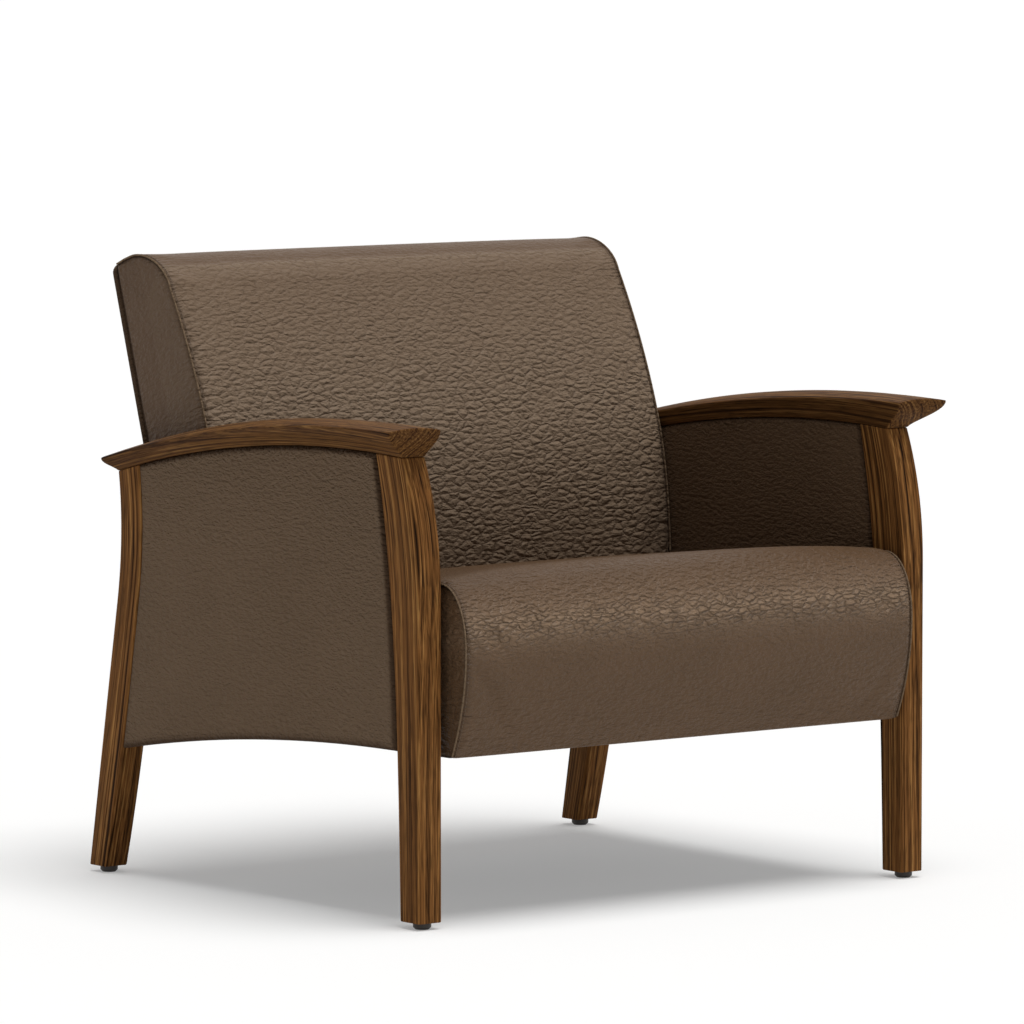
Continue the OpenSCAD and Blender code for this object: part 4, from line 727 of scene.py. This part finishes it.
def cushionMesh(name, size, outline, weights, use, material, toChair):
    # rings from the left gusset to the right one; each is the outline, moved along its normals. use says how
    # worn and how ridged the cloth is along the outline, and how deep its painted shade lies
    half, n = size["half"], len(outline)
    # the cloth simulation makes the cushion swell, so it starts a little smaller
    crown = size["crown"] - size["swell"]
    normal = outwards(outline)
    lengths = np.r_[0, np.cumsum(np.linalg.norm(np.diff(outline, axis=0), axis=1))]
    pull = {sign: gathers(lengths, sewing["seed"] * sign + half) for sign in (-1, 1)}
    start, end = np.array(size["spine"], float)
    way = np.clip(((outline - start) @ (end - start)) / ((end - start) @ (end - start)), 0, 1)
    toSpine = start + way[:, None] * (end - start) - outline
    reach = np.linalg.norm(toSpine, axis=1)
    rings = []
    for share in sewing["gussetShares"]:
        bulge = size["bulge"] * (1 - (1 - share) ** 3)
        rings.append((half + bulge, outline + toSpine * share, reach * share))
    for inset, out in sewing["gussetSeam"]:
        rings.append((half + out, outline + toSpine * (inset / reach)[:, None], np.full(n, inset)))
    for inset, out in sewing["topSeam"]:
        rise = out + crown * weights * (1 - ((half - inset) / half) ** sewing["crownPower"])
        rings.append((half - inset, outline + normal * rise[:, None], 0))
    inner = rings[-1][0]
    xs = np.linspace(-inner, inner, int(2 * inner / sewing["across"]) + 1)[1:-1]
    points, lay, crackle, gather, shadeMasks = [], [], [], [], []
    for sign, group in ((-1, rings), (0, xs), (1, rings[::-1])):
        for item in group:
            if sign == 0:
                x, inset = item, 0
                wander = [sewing["ridgeMean"] + sewing["ridgeVaries"] * noise.noise(
                    Vector((x / sewing["ridgeAcross"], s / sewing["ridgeAlong"], 2.0))) for s in lengths]
                rise = (crown * weights * (1 - abs(x / half) ** sewing["crownPower"])
                        + use["ridge"] * np.maximum(sewing["ridgeLeast"], wander))
                ring = outline + normal * rise[:, None]
            else:
                level, ring, inset = item
                x = sign * level
            onGusset = abs(x) > half - sewing["turnIn"]
            fromSeam = inset if onGusset else half - abs(x)
            tug = np.exp(-fromSeam / sewing["puckerReach"]) * sewing["puckerDepth"] * pull[-1 if x < 0 else 1]
            tug = tug * (1 - np.exp(-fromSeam / sewing["puckerHold"]))
            across = np.full(n, float(x))
            if onGusset:
                across = across - sign * tug
            else:
                ring = ring - normal * tug[:, None]
            points.append(toChair(np.column_stack([across, ring])))
            flat = ring if onGusset else np.column_stack([across, lengths])
            lay.append(np.column_stack([flat, np.zeros(n)]) / 1000)
            crackle.append(use["worn"] * (1.0 if abs(x) < half - sewing["wornIn"] else sewing["gussetWorn"]))
            # gather: near the seams the cloth takes painted shade and pleats
            gather.append((sewing["gussetGather"] if onGusset else 1.0)
                          * np.exp(-fromSeam / sewing["gatherReach"]) + np.zeros(n))
            shadeMasks.append(np.maximum(use["shadeMask"], sewing["gussetShade"] if onGusset else 0))
    last = (len(points) - 1) * n
    faces = ringFaces(len(points), n) + [tuple(range(n)), tuple(last + i for i in reversed(range(n)))]
    obj = makeObject(name, np.concatenate(points), faces, material, {
        "lay": np.concatenate(lay), "crackle": np.concatenate(crackle), "gather": np.concatenate(gather),
        "shadeMask": np.concatenate(shadeMasks)})
    faceOutwards(obj)
    return obj


def flatPlace(points):
    return points


def rakedPlace(points):
    # from the back's own plane to the chair
    c, s = math.cos(math.radians(back["rake"])), math.sin(math.radians(back["rake"]))
    return np.column_stack([points[:, 0], back["footY"] + points[:, 1] * c + points[:, 2] * s,
                            back["footZ"] - points[:, 1] * s + points[:, 2] * c])


# the vinyl as a cloth: stiff, a little shrunk, blown out by its filling, and held near its seams
clothForm = {"quality": 4, "mass": 0.6, "stiffness": 12, "bending": 1.2, "shrink": -0.012, "pressure": 4,
             "frames": 20, "heldSeam": 6.0}


def soften(obj, size, isHeld):
    # lets the cloth settle over its filling: pressure swells it, and its seams and hidden sides hold it
    rest = np.empty(len(obj.data.vertices) * 3)
    obj.data.vertices.foreach_get("co", rest)
    rest = rest.reshape(-1, 3)
    held = obj.vertex_groups.new(name="held")
    for i, co in enumerate(rest):
        edge = size["half"] / 1000 - abs(co[0])
        if edge < clothForm["heldSeam"] / 1000 or isHeld(co * 1000 + [0, chair["middleY"], 0]):
            held.add([i], 1.0, "REPLACE")
    cloth = obj.modifiers.new("cloth", "CLOTH")
    cloth.settings.quality = clothForm["quality"]
    cloth.settings.mass = clothForm["mass"]
    cloth.settings.tension_stiffness = cloth.settings.compression_stiffness = clothForm["stiffness"]
    cloth.settings.bending_stiffness = clothForm["bending"]
    cloth.settings.shrink_min = clothForm["shrink"]
    cloth.settings.use_pressure = True
    cloth.settings.uniform_pressure_force = clothForm["pressure"]
    cloth.settings.effector_weights.gravity = 0
    cloth.settings.vertex_group_mass = "held"
    cloth.point_cache.frame_start, cloth.point_cache.frame_end = 1, clothForm["frames"]
    for number in range(1, clothForm["frames"] + 1):
        bpy.context.scene.frame_set(number)
    graph = bpy.context.evaluated_depsgraph_get()
    moved = np.empty_like(rest.ravel())
    obj.evaluated_get(graph).data.vertices.foreach_get("co", moved)
    shift = moved.reshape(-1, 3) - rest
    length = np.linalg.norm(shift, axis=1)
    limit = size["swell"] / 1000
    shift *= (limit * np.tanh(length / limit) / np.maximum(length, 1e-9))[:, None]
    obj.modifiers.remove(cloth)
    obj.vertex_groups.remove(held)
    obj.data.vertices.foreach_set("co", (rest + shift).ravel())
    obj.data.update()
    bpy.context.scene.frame_set(1)


def crackleTree():
    # lifts the cloth into the crackle's hills, as deep as it is worn
    tree, put = newTree("crackle", {"Geometry": "Geometry", "Depth": "Float", "Cover": "Material"})
    lay = addNode(tree, "GeometryNodeInputNamedAttribute", {"Name": "lay"}, data_type="FLOAT_VECTOR")
    worn = addNode(tree, "GeometryNodeInputNamedAttribute", {"Name": "crackle"}, data_type="FLOAT")
    height = crackleHeight(tree, lay.outputs["Attribute"], backFolds)
    centred = addNode(tree, "Math", {0: height, 1: crackleForm["middle"]}, operation="SUBTRACT")
    deep = addNode(tree, "Math", {0: centred, 1: worn.outputs["Attribute"]}, operation="MULTIPLY")
    lift = addNode(tree, "Math", {0: deep, 1: put["Depth"]}, operation="MULTIPLY")
    normal = addNode(tree, "GeometryNodeInputNormal")
    offset = addNode(tree, "VectorMath", {0: normal, "Scale": lift}, operation="SCALE")
    moved = addNode(tree, "GeometryNodeSetPosition", {"Geometry": put["Geometry"], "Offset": offset})
    real = addNode(tree, "GeometryNodeRealizeInstances", {"Geometry": moved})
    done = addNode(tree, "GeometryNodeSetMaterial", {"Geometry": real, "Material": put["Cover"]})
    addNode(tree, "NodeGroupOutput", {"Geometry": done})
    return tree


crackle = crackleTree()


def covered(obj, size, isHeld, cover):
    # sewn, settled by the cloth simulation, made finer, then crackled
    soften(obj, size, isHeld)
    finer = obj.modifiers.new("finer", "SUBSURF")
    finer.levels = finer.render_levels = 1
    wrinkled = obj.modifiers.new("crackle", "NODES")
    wrinkled.node_group = crackle
    setInputs(wrinkled, crackle, {"Depth": sewing["crackleDeep"] / 1000, "Cover": cover})
    return finished(obj)


def seatHeld(p):
    return (p[2] < seat["bottomZ"] + seat["heldEdge"] or p[1] > seat["rearY"] - seat["heldEdge"]
            or p[2] < seat["heldLow"] and p[1] > seat["heldBehind"])


def backHeld(p):
    rearY = back["footY"] + (p[2] - back["footZ"]) * math.tan(math.radians(back["rake"]))
    return p[2] < back["heldLow"] or p[1] > rearY - back["heldBehind"]


# How use has left the seat, and the painted shade on it: over its top by the distance from the front, and up
# its nose by height, in mm. Most of its crackle lies in the bend of the bullnose, and the painted shade
# darkens the top towards the back
seatUse = {"topWorn": 0.05, "frontWorn": 0.03, "frontFrom": 5.0, "frontReach": 60.0,
           "noseAt": [345, 360, 372, 384, 402, 413, 426, 440, 450],
           "noseWorn": [0.06, 0.16, 0.42, 0.9, 1.0, 0.45, 0.16, 0.08, 0.06],
           "topAt": [1, 12, 60, 150], "topShade": [0.2, 0.3, 0.43, 0.46],
           "shadeAt": [372, 385, 415, 430, 450], "noseShade": [0, 0.04, 0.0, 0.04, 0.26]}
seatLine, seatShown = seatOutline()
seatY, seatZ = seatLine[:, 0], seatLine[:, 1]
isShown = np.arange(len(seatLine)) < seatShown
isTop = isShown & (seatY > seat["noseStart"])
isNose = isShown & ~isTop
noseUp = np.clip((seatZ - seat["noseZ"]) / (seat["seamZ"] - seat["noseZ"]), 0, 1)
noseDown = np.clip((seat["noseZ"] - seatZ) / (seat["noseZ"] - seat["bottomZ"]), 0, 1)
fromRear = (seat["rearY"] - seatY) / (seat["rearY"] - seat["noseStart"])
topWeights = np.sin(np.clip(fromRear * seat["crownRise"], 0, 1) * math.pi / 2)
noseWeights = np.where(noseUp > 0, seat["noseShare"] + (1 - seat["noseShare"]) * noseUp,
                       seat["noseShare"] * (1 - noseDown))
seatWeights = np.where(isTop, topWeights, np.where(isNose, noseWeights, 0))
topWorn = seatUse["topWorn"] + seatUse["frontWorn"] * np.exp(
    -np.maximum(0, seatY - seatUse["frontFrom"]) / seatUse["frontReach"])
noseWorn = np.interp(seatZ, seatUse["noseAt"], seatUse["noseWorn"])
seatWorn = np.where(isTop, topWorn, np.where(isNose, noseWorn, 0))
seatShadeMask = np.where(isTop, np.interp(seatY, seatUse["topAt"], seatUse["topShade"]),
                    np.interp(seatZ, seatUse["shadeAt"], seatUse["noseShade"]))
seatCushion = cushionMesh("seat_cushion", seat, seatLine, seatWeights, {
    "worn": seatWorn, "shadeMask": seatShadeMask, "ridge": 0 * seatShadeMask}, seatVinyl, flatPlace)
covered(seatCushion, seat, seatHeld, seatVinyl)
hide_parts("seat_upholstery", "seat_foam")
print("seat cushion sewn")

# How full the back is, how use has left it, and its painted shade, by height up its own plane. Sitters'
# shoulders fold the cloth in a ridge and a crease just under the rolled top. The painted shade darkens the
# front towards the seat and the top above the ridge
backUse = {"full": 0.7, "middleFull": 0.3, "footPower": 6, "topLoss": 0.4, "overTop": 0.25,
           "wornAt": [180, 380, 520, 570, 592, 597, 602, 606],
           "worn": [1.0, 1.0, 0.62, 0.5, 0.6, 0.8, 0.3, 0.08], "leastWorn": 0.08,
           "ridgeUp": 596.0, "ridgeWide": 2.6, "creaseUp": 603.0, "creaseWide": 3.2, "creaseDeep": 0.9,
           "frontShade": 0.04, "footShade": 0.27, "footRise": 1.4, "footFrom": 0.7, "otherShade": 0.08,
           "topShade": 0.08, "topShadeOver": 10.0}
backLine, backShown = backOutline()
upBack = backLine[:, 1]
isShown = np.arange(len(backLine)) < backShown
isFront = isShown & (backLine[:, 0] < back["frontFrom"])
isOver = isShown & ~isFront
downFront = np.clip((back["shoulderUp"] - upBack) / (back["shoulderUp"] - back["seatLineUp"]), 0, 1)
overTop = np.clip((upBack - back["shoulderUp"]) / back["topHeight"], 0, 1)
frontWeights = np.maximum(0, backUse["full"] + backUse["middleFull"] * np.sin(math.pi * downFront)
                          - backUse["full"] * downFront ** backUse["footPower"]) - backUse["topLoss"] * overTop
backWeights = np.where(isFront, frontWeights, np.where(isOver, backUse["overTop"], 0))
backWorn = np.where(isShown, np.interp(upBack, backUse["wornAt"], backUse["worn"]), backUse["leastWorn"])
ridge = np.exp(-((upBack - backUse["ridgeUp"]) / backUse["ridgeWide"]) ** 2)
crease = np.exp(-((upBack - backUse["creaseUp"]) / backUse["creaseWide"]) ** 2)
backRidge = np.where(isShown, ridge - backUse["creaseDeep"] * crease, 0)
# painted shade: darker down the front towards the seat, and over the top above the ridge
footShade = backUse["footShade"] * np.clip(backUse["footRise"] * downFront - backUse["footFrom"], 0, 1)
topShade = backUse["topShade"] * np.clip((upBack - backUse["ridgeUp"]) / backUse["topShadeOver"], 0, 1)
backShadeMask = np.where(isFront, backUse["frontShade"] + footShade, backUse["otherShade"]) + topShade
backCushion = cushionMesh("back_cushion", back, backLine, backWeights, {
    "worn": backWorn, "shadeMask": backShadeMask, "ridge": backRidge}, vinyl, rakedPlace)
covered(backCushion, back, backHeld, vinyl)
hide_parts("back_upholstery", "back_foam")
print("back cushion sewn")

# Welts and stitches: trees that follow the seams; each seam's first and last points are left free
seams = {"weltRadius": 1.25, "weltSink": 1.1, "weltIn": 0.2, "weltSides": 10, "stitchIn": 5.4,
         "stitchSink": 0.55, "stitchLong": 3.6, "stitchPitch": 5.4, "stitchRadius": 0.45, "stitchSides": 6}


def weltTree():
    # a round folded cord of the cover's own vinyl along each seam
    tree, put = newTree("weltAlongSeam", {"Geometry": "Geometry", "Radius": "Float", "Cover": "Material"})
    path = addNode(tree, "GeometryNodeMeshToCurve", {"Mesh": put["Geometry"]})
    along = addNode(tree, "GeometryNodeSplineParameter")
    ring = addNode(tree, "GeometryNodeCurvePrimitiveCircle", {
        "Resolution": seams["weltSides"], "Radius": put["Radius"]})
    lay = addNode(tree, "CombineXYZ", {"Y": along.outputs["Length"]})
    marked = addNode(tree, "GeometryNodeStoreNamedAttribute", {"Geometry": path, "Name": "lay", "Value": lay},
                     data_type="FLOAT_VECTOR")
    # a full crackle gives the whole cord the paler colour of worn, highlit hilltops
    wornAndHighlit = addNode(tree, "GeometryNodeStoreNamedAttribute", {
        "Geometry": marked, "Name": "crackle", "Value": 1.0}, data_type="FLOAT")
    tube = addNode(tree, "GeometryNodeCurveToMesh", {
        "Curve": wornAndHighlit, "Profile Curve": ring, "Fill Caps": True})
    real = addNode(tree, "GeometryNodeRealizeInstances", {"Geometry": tube})
    smooth = addNode(tree, "GeometryNodeSetShadeSmooth", {"Geometry": real})
    done = addNode(tree, "GeometryNodeSetMaterial", {"Geometry": smooth, "Material": put["Cover"]})
    addNode(tree, "NodeGroupOutput", {"Geometry": done})
    return tree


def stitchTree():
    # short threads laid end to end beside each seam
    tree, put = newTree("stitchesAlongSeam", {
        "Geometry": "Geometry", "Pitch": "Float", "Long": "Float", "Radius": "Float", "Thread": "Material"})
    path = addNode(tree, "GeometryNodeMeshToCurve", {"Mesh": put["Geometry"]})
    places = addNode(tree, "GeometryNodeCurveToPoints", {
        "Curve": path, "Length": put["Pitch"]}, mode="LENGTH")
    thread = addNode(tree, "GeometryNodeMeshCylinder", {
        "Vertices": seams["stitchSides"], "Radius": put["Radius"], "Depth": put["Long"]})
    laid = addNode(tree, "GeometryNodeInstanceOnPoints", {
        "Points": places.outputs["Points"], "Instance": thread.outputs["Mesh"],
        "Rotation": places.outputs["Rotation"]})
    real = addNode(tree, "GeometryNodeRealizeInstances", {"Geometry": laid})
    done = addNode(tree, "GeometryNodeSetMaterial", {"Geometry": real, "Material": put["Thread"]})
    addNode(tree, "NodeGroupOutput", {"Geometry": done})
    return tree


def lineMesh(name, lines):
    # open runs of points as edges only
    points = np.concatenate(lines)
    edges, first = [], 0
    for line in lines:
        edges += [(first + i, first + i + 1) for i in range(len(line) - 1)]
        first += len(line)
    mesh = bpy.data.meshes.new(name)
    mesh.from_pydata(((points - [0, chair["middleY"], 0]) / 1000).tolist(), edges, [])
    return mesh


welt, stitches = weltTree(), stitchTree()


def sewSeams(name, size, outline, shown, toChair, ends):
    # both side seams of a cushion: the welt on the edge, and its top stitching beside it
    normal = outwards(outline)
    first, last = ends[0], shown - ends[1]
    for word, inward, sink, tree, values in (
            ("_welts", seams["weltIn"], seams["weltSink"], welt,
             {"Radius": seams["weltRadius"] / 1000, "Cover": weltVinyl}),
            ("_stitches", seams["stitchIn"], seams["stitchSink"], stitches,
             {"Pitch": seams["stitchPitch"] / 1000, "Long": seams["stitchLong"] / 1000,
              "Radius": seams["stitchRadius"] / 1000, "Thread": threadMaterial})):
        run = (outline - normal * sink)[first:last]
        lines = [toChair(np.column_stack([np.full(len(run), sign * (size["half"] - inward)), run]))
                 for sign in (-1, 1)]
        piece = growNodes(name + word, tree, values, lineMesh(name + word, lines))
        finished(piece)


sewSeams("seat", seat, seatLine, seatShown, flatPlace, (2, 1))
sewSeams("back", back, backLine, backShown, rakedPlace, (1, 30))
print("welts and stitches laid")

# Side pads and rear panel: a grid between four edges, rounded where it meets them. The edge steps are the
# grid's first places in from an edge, in mm. Staples under the edge pull small hollows into the cloth
pads = {"outerFace": 434.0, "innerFace": 393.0, "coreOut": 423.3, "coreIn": 402.7, "edge": 8.0,
        "outerCrown": 1.5, "innerCrown": 0.75, "frontZ": 231.0, "drop": 54.0, "wrap": 6.0, "railHigh": 70.0,
        "hemUp": 9.0, "hemDeep": 0.8, "hemWide": 1.1, "gap": 0.7, "topGap": 0.1, "long": 600.0, "tall": 380.0,
        "step": 7.0, "rounds": 12, "hollowMm": 24.0, "hollowDeep": 0.5, "hollowReach": 30.0, "flatEdge": 2.0,
        "gatherFrom": 4.0, "gatherReach": 9.0, "worn": 0.5,
        "edgeSteps": [0.0, 0.25, 0.9, 1.9, 3.2, 4.6, 6.0, 7.2, 8.0, 8.8, 11.0]}


def gridShares(length):
    # places along a side: close together at both ends, where the pad is rounded
    ends = np.array(pads["edgeSteps"]) / length
    inner = np.linspace(ends[-1], 1 - ends[-1], max(3, int(length / pads["step"])))[1:-1]
    return np.r_[ends, inner, 1 - ends[::-1]]


def domed(u, v):
    # 1 over most of a grid, falling to 0 at its edges
    return (1 - (2 * u - 1) ** 4) * (1 - (2 * v - 1) ** 4)


def roundedEdge(deep):
    # how far the cloth lies back at each distance in from the edge
    r = pads["edge"]
    return np.where(deep < r, r - np.sqrt(np.maximum(0, r * r - (r - np.minimum(deep, r)) ** 2)), 0)


def noiseOver(a, b, wide, tall, seed):
    values = [noise.noise(Vector((p / wide, q / tall, seed))) for p, q in zip(a.ravel(), b.ravel())]
    return np.array(values).reshape(a.shape)


def hollows(a, b, deep, size, seed):
    tug = np.minimum(0, noiseOver(a, b, size["hollowMm"], size["hollowMm"], seed))
    return size["hollowDeep"] * tug * np.exp(-deep / size["hollowReach"]) * (deep > pads["flatEdge"])


def coverPad(name, points, shape, lay, deep, worn, cover, nodeName):
    # lay holds the two lengths over the cloth in mm, deep the distance in from the nearest edge
    lay = np.column_stack([lay[0].ravel(), lay[1].ravel(), np.zeros(deep.size)]) / 1000
    # near the edges, gather gives the cloth painted shade and pleats
    gather = np.exp(-np.maximum(0, deep.ravel() - pads["gatherFrom"]) / pads["gatherReach"])
    obj = makeObject(name, points, gridFaces(*shape), cover, {
        "lay": lay, "crackle": np.full(deep.size, worn), "gather": gather})
    faceOutwards(obj)
    finished(obj)
    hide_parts(nodeName)


panelFrontY = float(legFace(frontLeg, "aft", pads["frontZ"]))
panelRearY = float(legFace(rearLeg, "fore", pads["frontZ"] - pads["drop"]))


def panelLow(y):
    return pads["frontZ"] - pads["drop"] * ((y - panelFrontY) / (panelRearY - panelFrontY)) ** 2


def padMesh(name, sign, base, face, crown, lift, hem, cover, nodeName):
    long, tall, gap = pads["long"], pads["tall"], pads["gap"]
    u, v = np.meshgrid(gridShares(long), gridShares(tall))
    y = panelFrontY + (panelRearY - panelFrontY) * u
    for turn in range(pads["rounds"]):
        low, high = panelLow(y) + lift, armUnder(y) - pads["topGap"]
        z = low + (high - low) * v
        front, rear = legFace(frontLeg, "aft", z), legFace(rearLeg, "fore", z)
        y = front + gap + (rear - front - 2 * gap) * u
    deep = np.minimum.reduce([u * long, (1 - u) * long, v * tall, (1 - v) * tall])
    groove = hem * np.exp(-((v * tall - pads["hemUp"]) / pads["hemWide"]) ** 2)
    push = crown * domed(u, v) - roundedEdge(deep) - groove + hollows(y, z, deep, pads, 3.0 * sign + base)
    x = np.where(deep <= 0, base, face + np.sign(face - base) * push)
    points = np.column_stack([sign * x.ravel(), y.ravel(), z.ravel()])
    coverPad(name, points, y.shape, (y, z), deep, pads["worn"], cover, nodeName)


innerLift = pads["wrap"] + pads["railHigh"] + chair["fit"]
for word, sign in (("left", -1), ("right", 1)):
    padMesh("outer_pad_" + word, sign, pads["coreOut"], pads["outerFace"], pads["outerCrown"], 0.0,
            pads["hemDeep"], sideVinyl, "outer_side_pad_" + word)
    padMesh("inner_pad_" + word, sign, pads["coreIn"], pads["innerFace"], pads["innerCrown"], innerLift, 0.0,
            innerPadShadedVinyl, "inner_side_pad_" + word)
print("side pads covered")

rearPanel = {"half": 389.0, "low": 3.0, "high": 631.0, "corner": 14.0, "base": -14.0, "face": 0.0,
             "crown": 1.5, "hollowMm": 30.0, "hollowDeep": 0.8, "hollowReach": 35.0, "seed": 1.0, "worn": 0.4}


def rearPanelMesh(name):
    wide, tall, r = 2 * rearPanel["half"], rearPanel["high"] - rearPanel["low"], rearPanel["corner"]
    wideIn, tallIn = wide / 2 - r, tall / 2 - r
    u, v = np.meshgrid(gridShares(wide), gridShares(tall))
    a, b = (u - 0.5) * wide, (v - 0.5) * tall
    # square corners become round ones
    ax, bx = np.maximum(0, np.abs(a) - wideIn) / r, np.maximum(0, np.abs(b) - tallIn) / r
    corner = (ax > 0) & (bx > 0)
    x = np.where(corner, np.sign(a) * (wideIn + r * ax * np.sqrt(1 - bx ** 2 / 2)), a)
    z = np.where(corner, np.sign(b) * (tallIn + r * bx * np.sqrt(1 - ax ** 2 / 2)), b)
    qx, qz = np.abs(x) - wideIn, np.abs(z) - tallIn
    deep = r - np.where(corner, np.hypot(np.maximum(qx, 0), np.maximum(qz, 0)), np.maximum(qx, qz))
    deep[0, :] = deep[-1, :] = deep[:, 0] = deep[:, -1] = 0
    push = (rearPanel["crown"] * domed(u, v) - roundedEdge(deep)
            + hollows(x, z, deep, rearPanel, rearPanel["seed"]))
    y = np.where(deep <= 0, rearPanel["base"], rearPanel["face"] + push)
    middle = (rearPanel["low"] + rearPanel["high"]) / 2
    points = rakedPlace(np.column_stack([x.ravel(), y.ravel(), (z + middle).ravel()]))
    coverPad(name, points, x.shape, (x, z), deep, rearPanel["worn"], sideVinyl, "back_outer_panel")


rearPanelMesh("rear_panel")
print("rear panel covered")

# The dust cover under the seat: thin spunbond cloth, stapled to the frame and slack between the steel tubes
dustCover = {"half": 371.0, "front": 37.0, "rear": 472.0, "high": 271.5, "thick": 0.8, "slack": 4.0,
             "step": 12.0, "tubeRear": 126.0, "tubeFront": 379.0, "sagPower": 0.6, "creaseWide": 60.0,
             "creaseLong": 160.0, "leastSlack": 0.75, "slackVaries": 0.5, "seed": 9.0, "stapleIn": 7.0,
             "stapleLong": 11.0, "staplePitch": 42.0, "stapleRadius": 0.25}


def dustCoverMesh():
    wide, long = 2 * dustCover["half"], dustCover["rear"] - dustCover["front"]
    xs = np.linspace(-dustCover["half"], dustCover["half"], int(wide / dustCover["step"]))
    ys = np.linspace(dustCover["front"], dustCover["rear"], int(long / dustCover["step"]))
    x, y = np.meshgrid(xs, ys)
    between = np.clip((y - dustCover["tubeRear"]) / (dustCover["tubeFront"] - dustCover["tubeRear"]), 0, 1)
    sag = np.sin(math.pi * between) * np.cos(math.pi / 2 * x / dustCover["half"]) ** dustCover["sagPower"]
    wrinkle = noiseOver(x, y, dustCover["creaseWide"], dustCover["creaseLong"], dustCover["seed"])
    z = dustCover["high"] - dustCover["slack"] * sag * (
        dustCover["leastSlack"] + dustCover["slackVaries"] * wrinkle)
    rows, columns = x.shape
    faces = [(j * columns + i, (j + 1) * columns + i, (j + 1) * columns + i + 1, j * columns + i + 1)
             for j in range(rows - 1) for i in range(columns - 1)]
    cloth = makeObject("dust_cloth", np.column_stack([x.ravel(), y.ravel(), z.ravel()]), faces, dustCloth)
    thick = cloth.modifiers.new("thickness", "SOLIDIFY")
    thick.thickness, thick.offset = dustCover["thick"] / 1000, -1.0
    finished(cloth)
    faceOutwards(cloth)
    edge, stapleZ = dustCover["stapleIn"], dustCover["high"] - dustCover["thick"] - dustCover["stapleRadius"]
    left, front = -dustCover["half"] + edge, dustCover["front"] + edge
    right, rear = -left, dustCover["rear"] - edge
    corners = [[left, front, stapleZ], [right, front, stapleZ], [right, rear, stapleZ], [left, rear, stapleZ]]
    runs = [np.array([corners[i], corners[(i + 1) % 4]]) for i in range(4)]
    staples = growNodes("dust_staples", stitches, {
        "Pitch": dustCover["staplePitch"] / 1000, "Long": dustCover["stapleLong"] / 1000,
        "Radius": dustCover["stapleRadius"] / 1000, "Thread": zincSteel}, lineMesh("dust_staples", runs))
    finished(staples)
    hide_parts("dust_cover")


dustCoverMesh()
print("dust cover stapled")

# Floor, light and camera
studio = {"floor": "#fefefd", "bounce": "#f4f3f0", "worldLevel": 0.17, "sunLevel": 2.7, "sunTilt": 12.0,
          "sunTurn": 20.0, "sunSoft": 40.0, "floorGlow": 0.28, "floorHalf": 90000.0}


def seenRays(tree):
    # 1 on what the camera sees, straight, mirrored or through glass, and 0 on what only lights the chair
    rays = addNode(tree, "LightPath")
    seen = addNode(tree, "Math", {
        0: rays.outputs["Is Camera Ray"], 1: rays.outputs["Is Glossy Ray"]}, operation="MAXIMUM")
    return addNode(tree, "Math", {0: seen, 1: rays.outputs["Is Transmission Ray"]}, operation="MAXIMUM")


floorMaterial, tree, shader = newMaterial("paleStudioFloor", 0.9)
seen = seenRays(tree)
share = addNode(tree, "Math", {0: seen, 1: studio["floorGlow"]}, operation="MULTIPLY")
white = addNode(tree, "Mix", {0: seen, 6: linear(studio["bounce"]), 7: linear(studio["floor"])},
                data_type="RGBA")
tree.links.new(white.outputs[2], shader.inputs["Base Color"])
glow = addNode(tree, "Emission", {"Color": (1, 1, 1, 1), "Strength": 1.0})
both = addNode(tree, "MixShader", {0: share, 1: shader.outputs["BSDF"], 2: glow})
tree.links.new(both.outputs["Shader"], tree.nodes["Material Output"].inputs["Surface"])
reach = studio["floorHalf"]
floorPoints = [[-reach, -reach, 0], [reach, -reach, 0], [reach, reach, 0], [-reach, reach, 0]]
floor = makeObject("studio_floor", floorPoints, [(0, 1, 2, 3)], floorMaterial)

world = bpy.data.worlds.new("softStudio")
bpy.context.scene.world = world
world.use_nodes = True
tree = world.node_tree
level = addNode(tree, "MapRange", {"Value": seenRays(tree), "To Min": studio["worldLevel"], "To Max": 1.0})
tree.nodes["Background"].inputs["Color"].default_value = (1, 1, 1, 1)
tree.links.new(level.outputs["Result"], tree.nodes["Background"].inputs["Strength"])

sun = bpy.data.lights.new("softKey", "SUN")
sun.energy, sun.angle = studio["sunLevel"], math.radians(studio["sunSoft"])
sunObject = bpy.data.objects.new("softKey", sun)
sunObject.rotation_euler = (math.radians(studio["sunTilt"]), 0, math.radians(studio["sunTurn"]))
bpy.context.scene.collection.objects.link(sunObject)

view = {"place": (-6.3404, -8.1884, 1.4006), "turn": (85.031, 0, -37.748), "lens": 267.5, "sensor": 36.0,
        "far": 400.0}
camera = bpy.data.cameras.new("photographView")
camera.lens, camera.sensor_width, camera.clip_end = view["lens"], view["sensor"], view["far"]
cameraObject = bpy.data.objects.new("photographView", camera)
cameraObject.location = view["place"]
cameraObject.rotation_euler = [math.radians(a) for a in view["turn"]]
bpy.context.scene.collection.objects.link(cameraObject)
bpy.context.scene.camera = cameraObject
bpy.context.scene.view_settings.view_transform = "Standard"
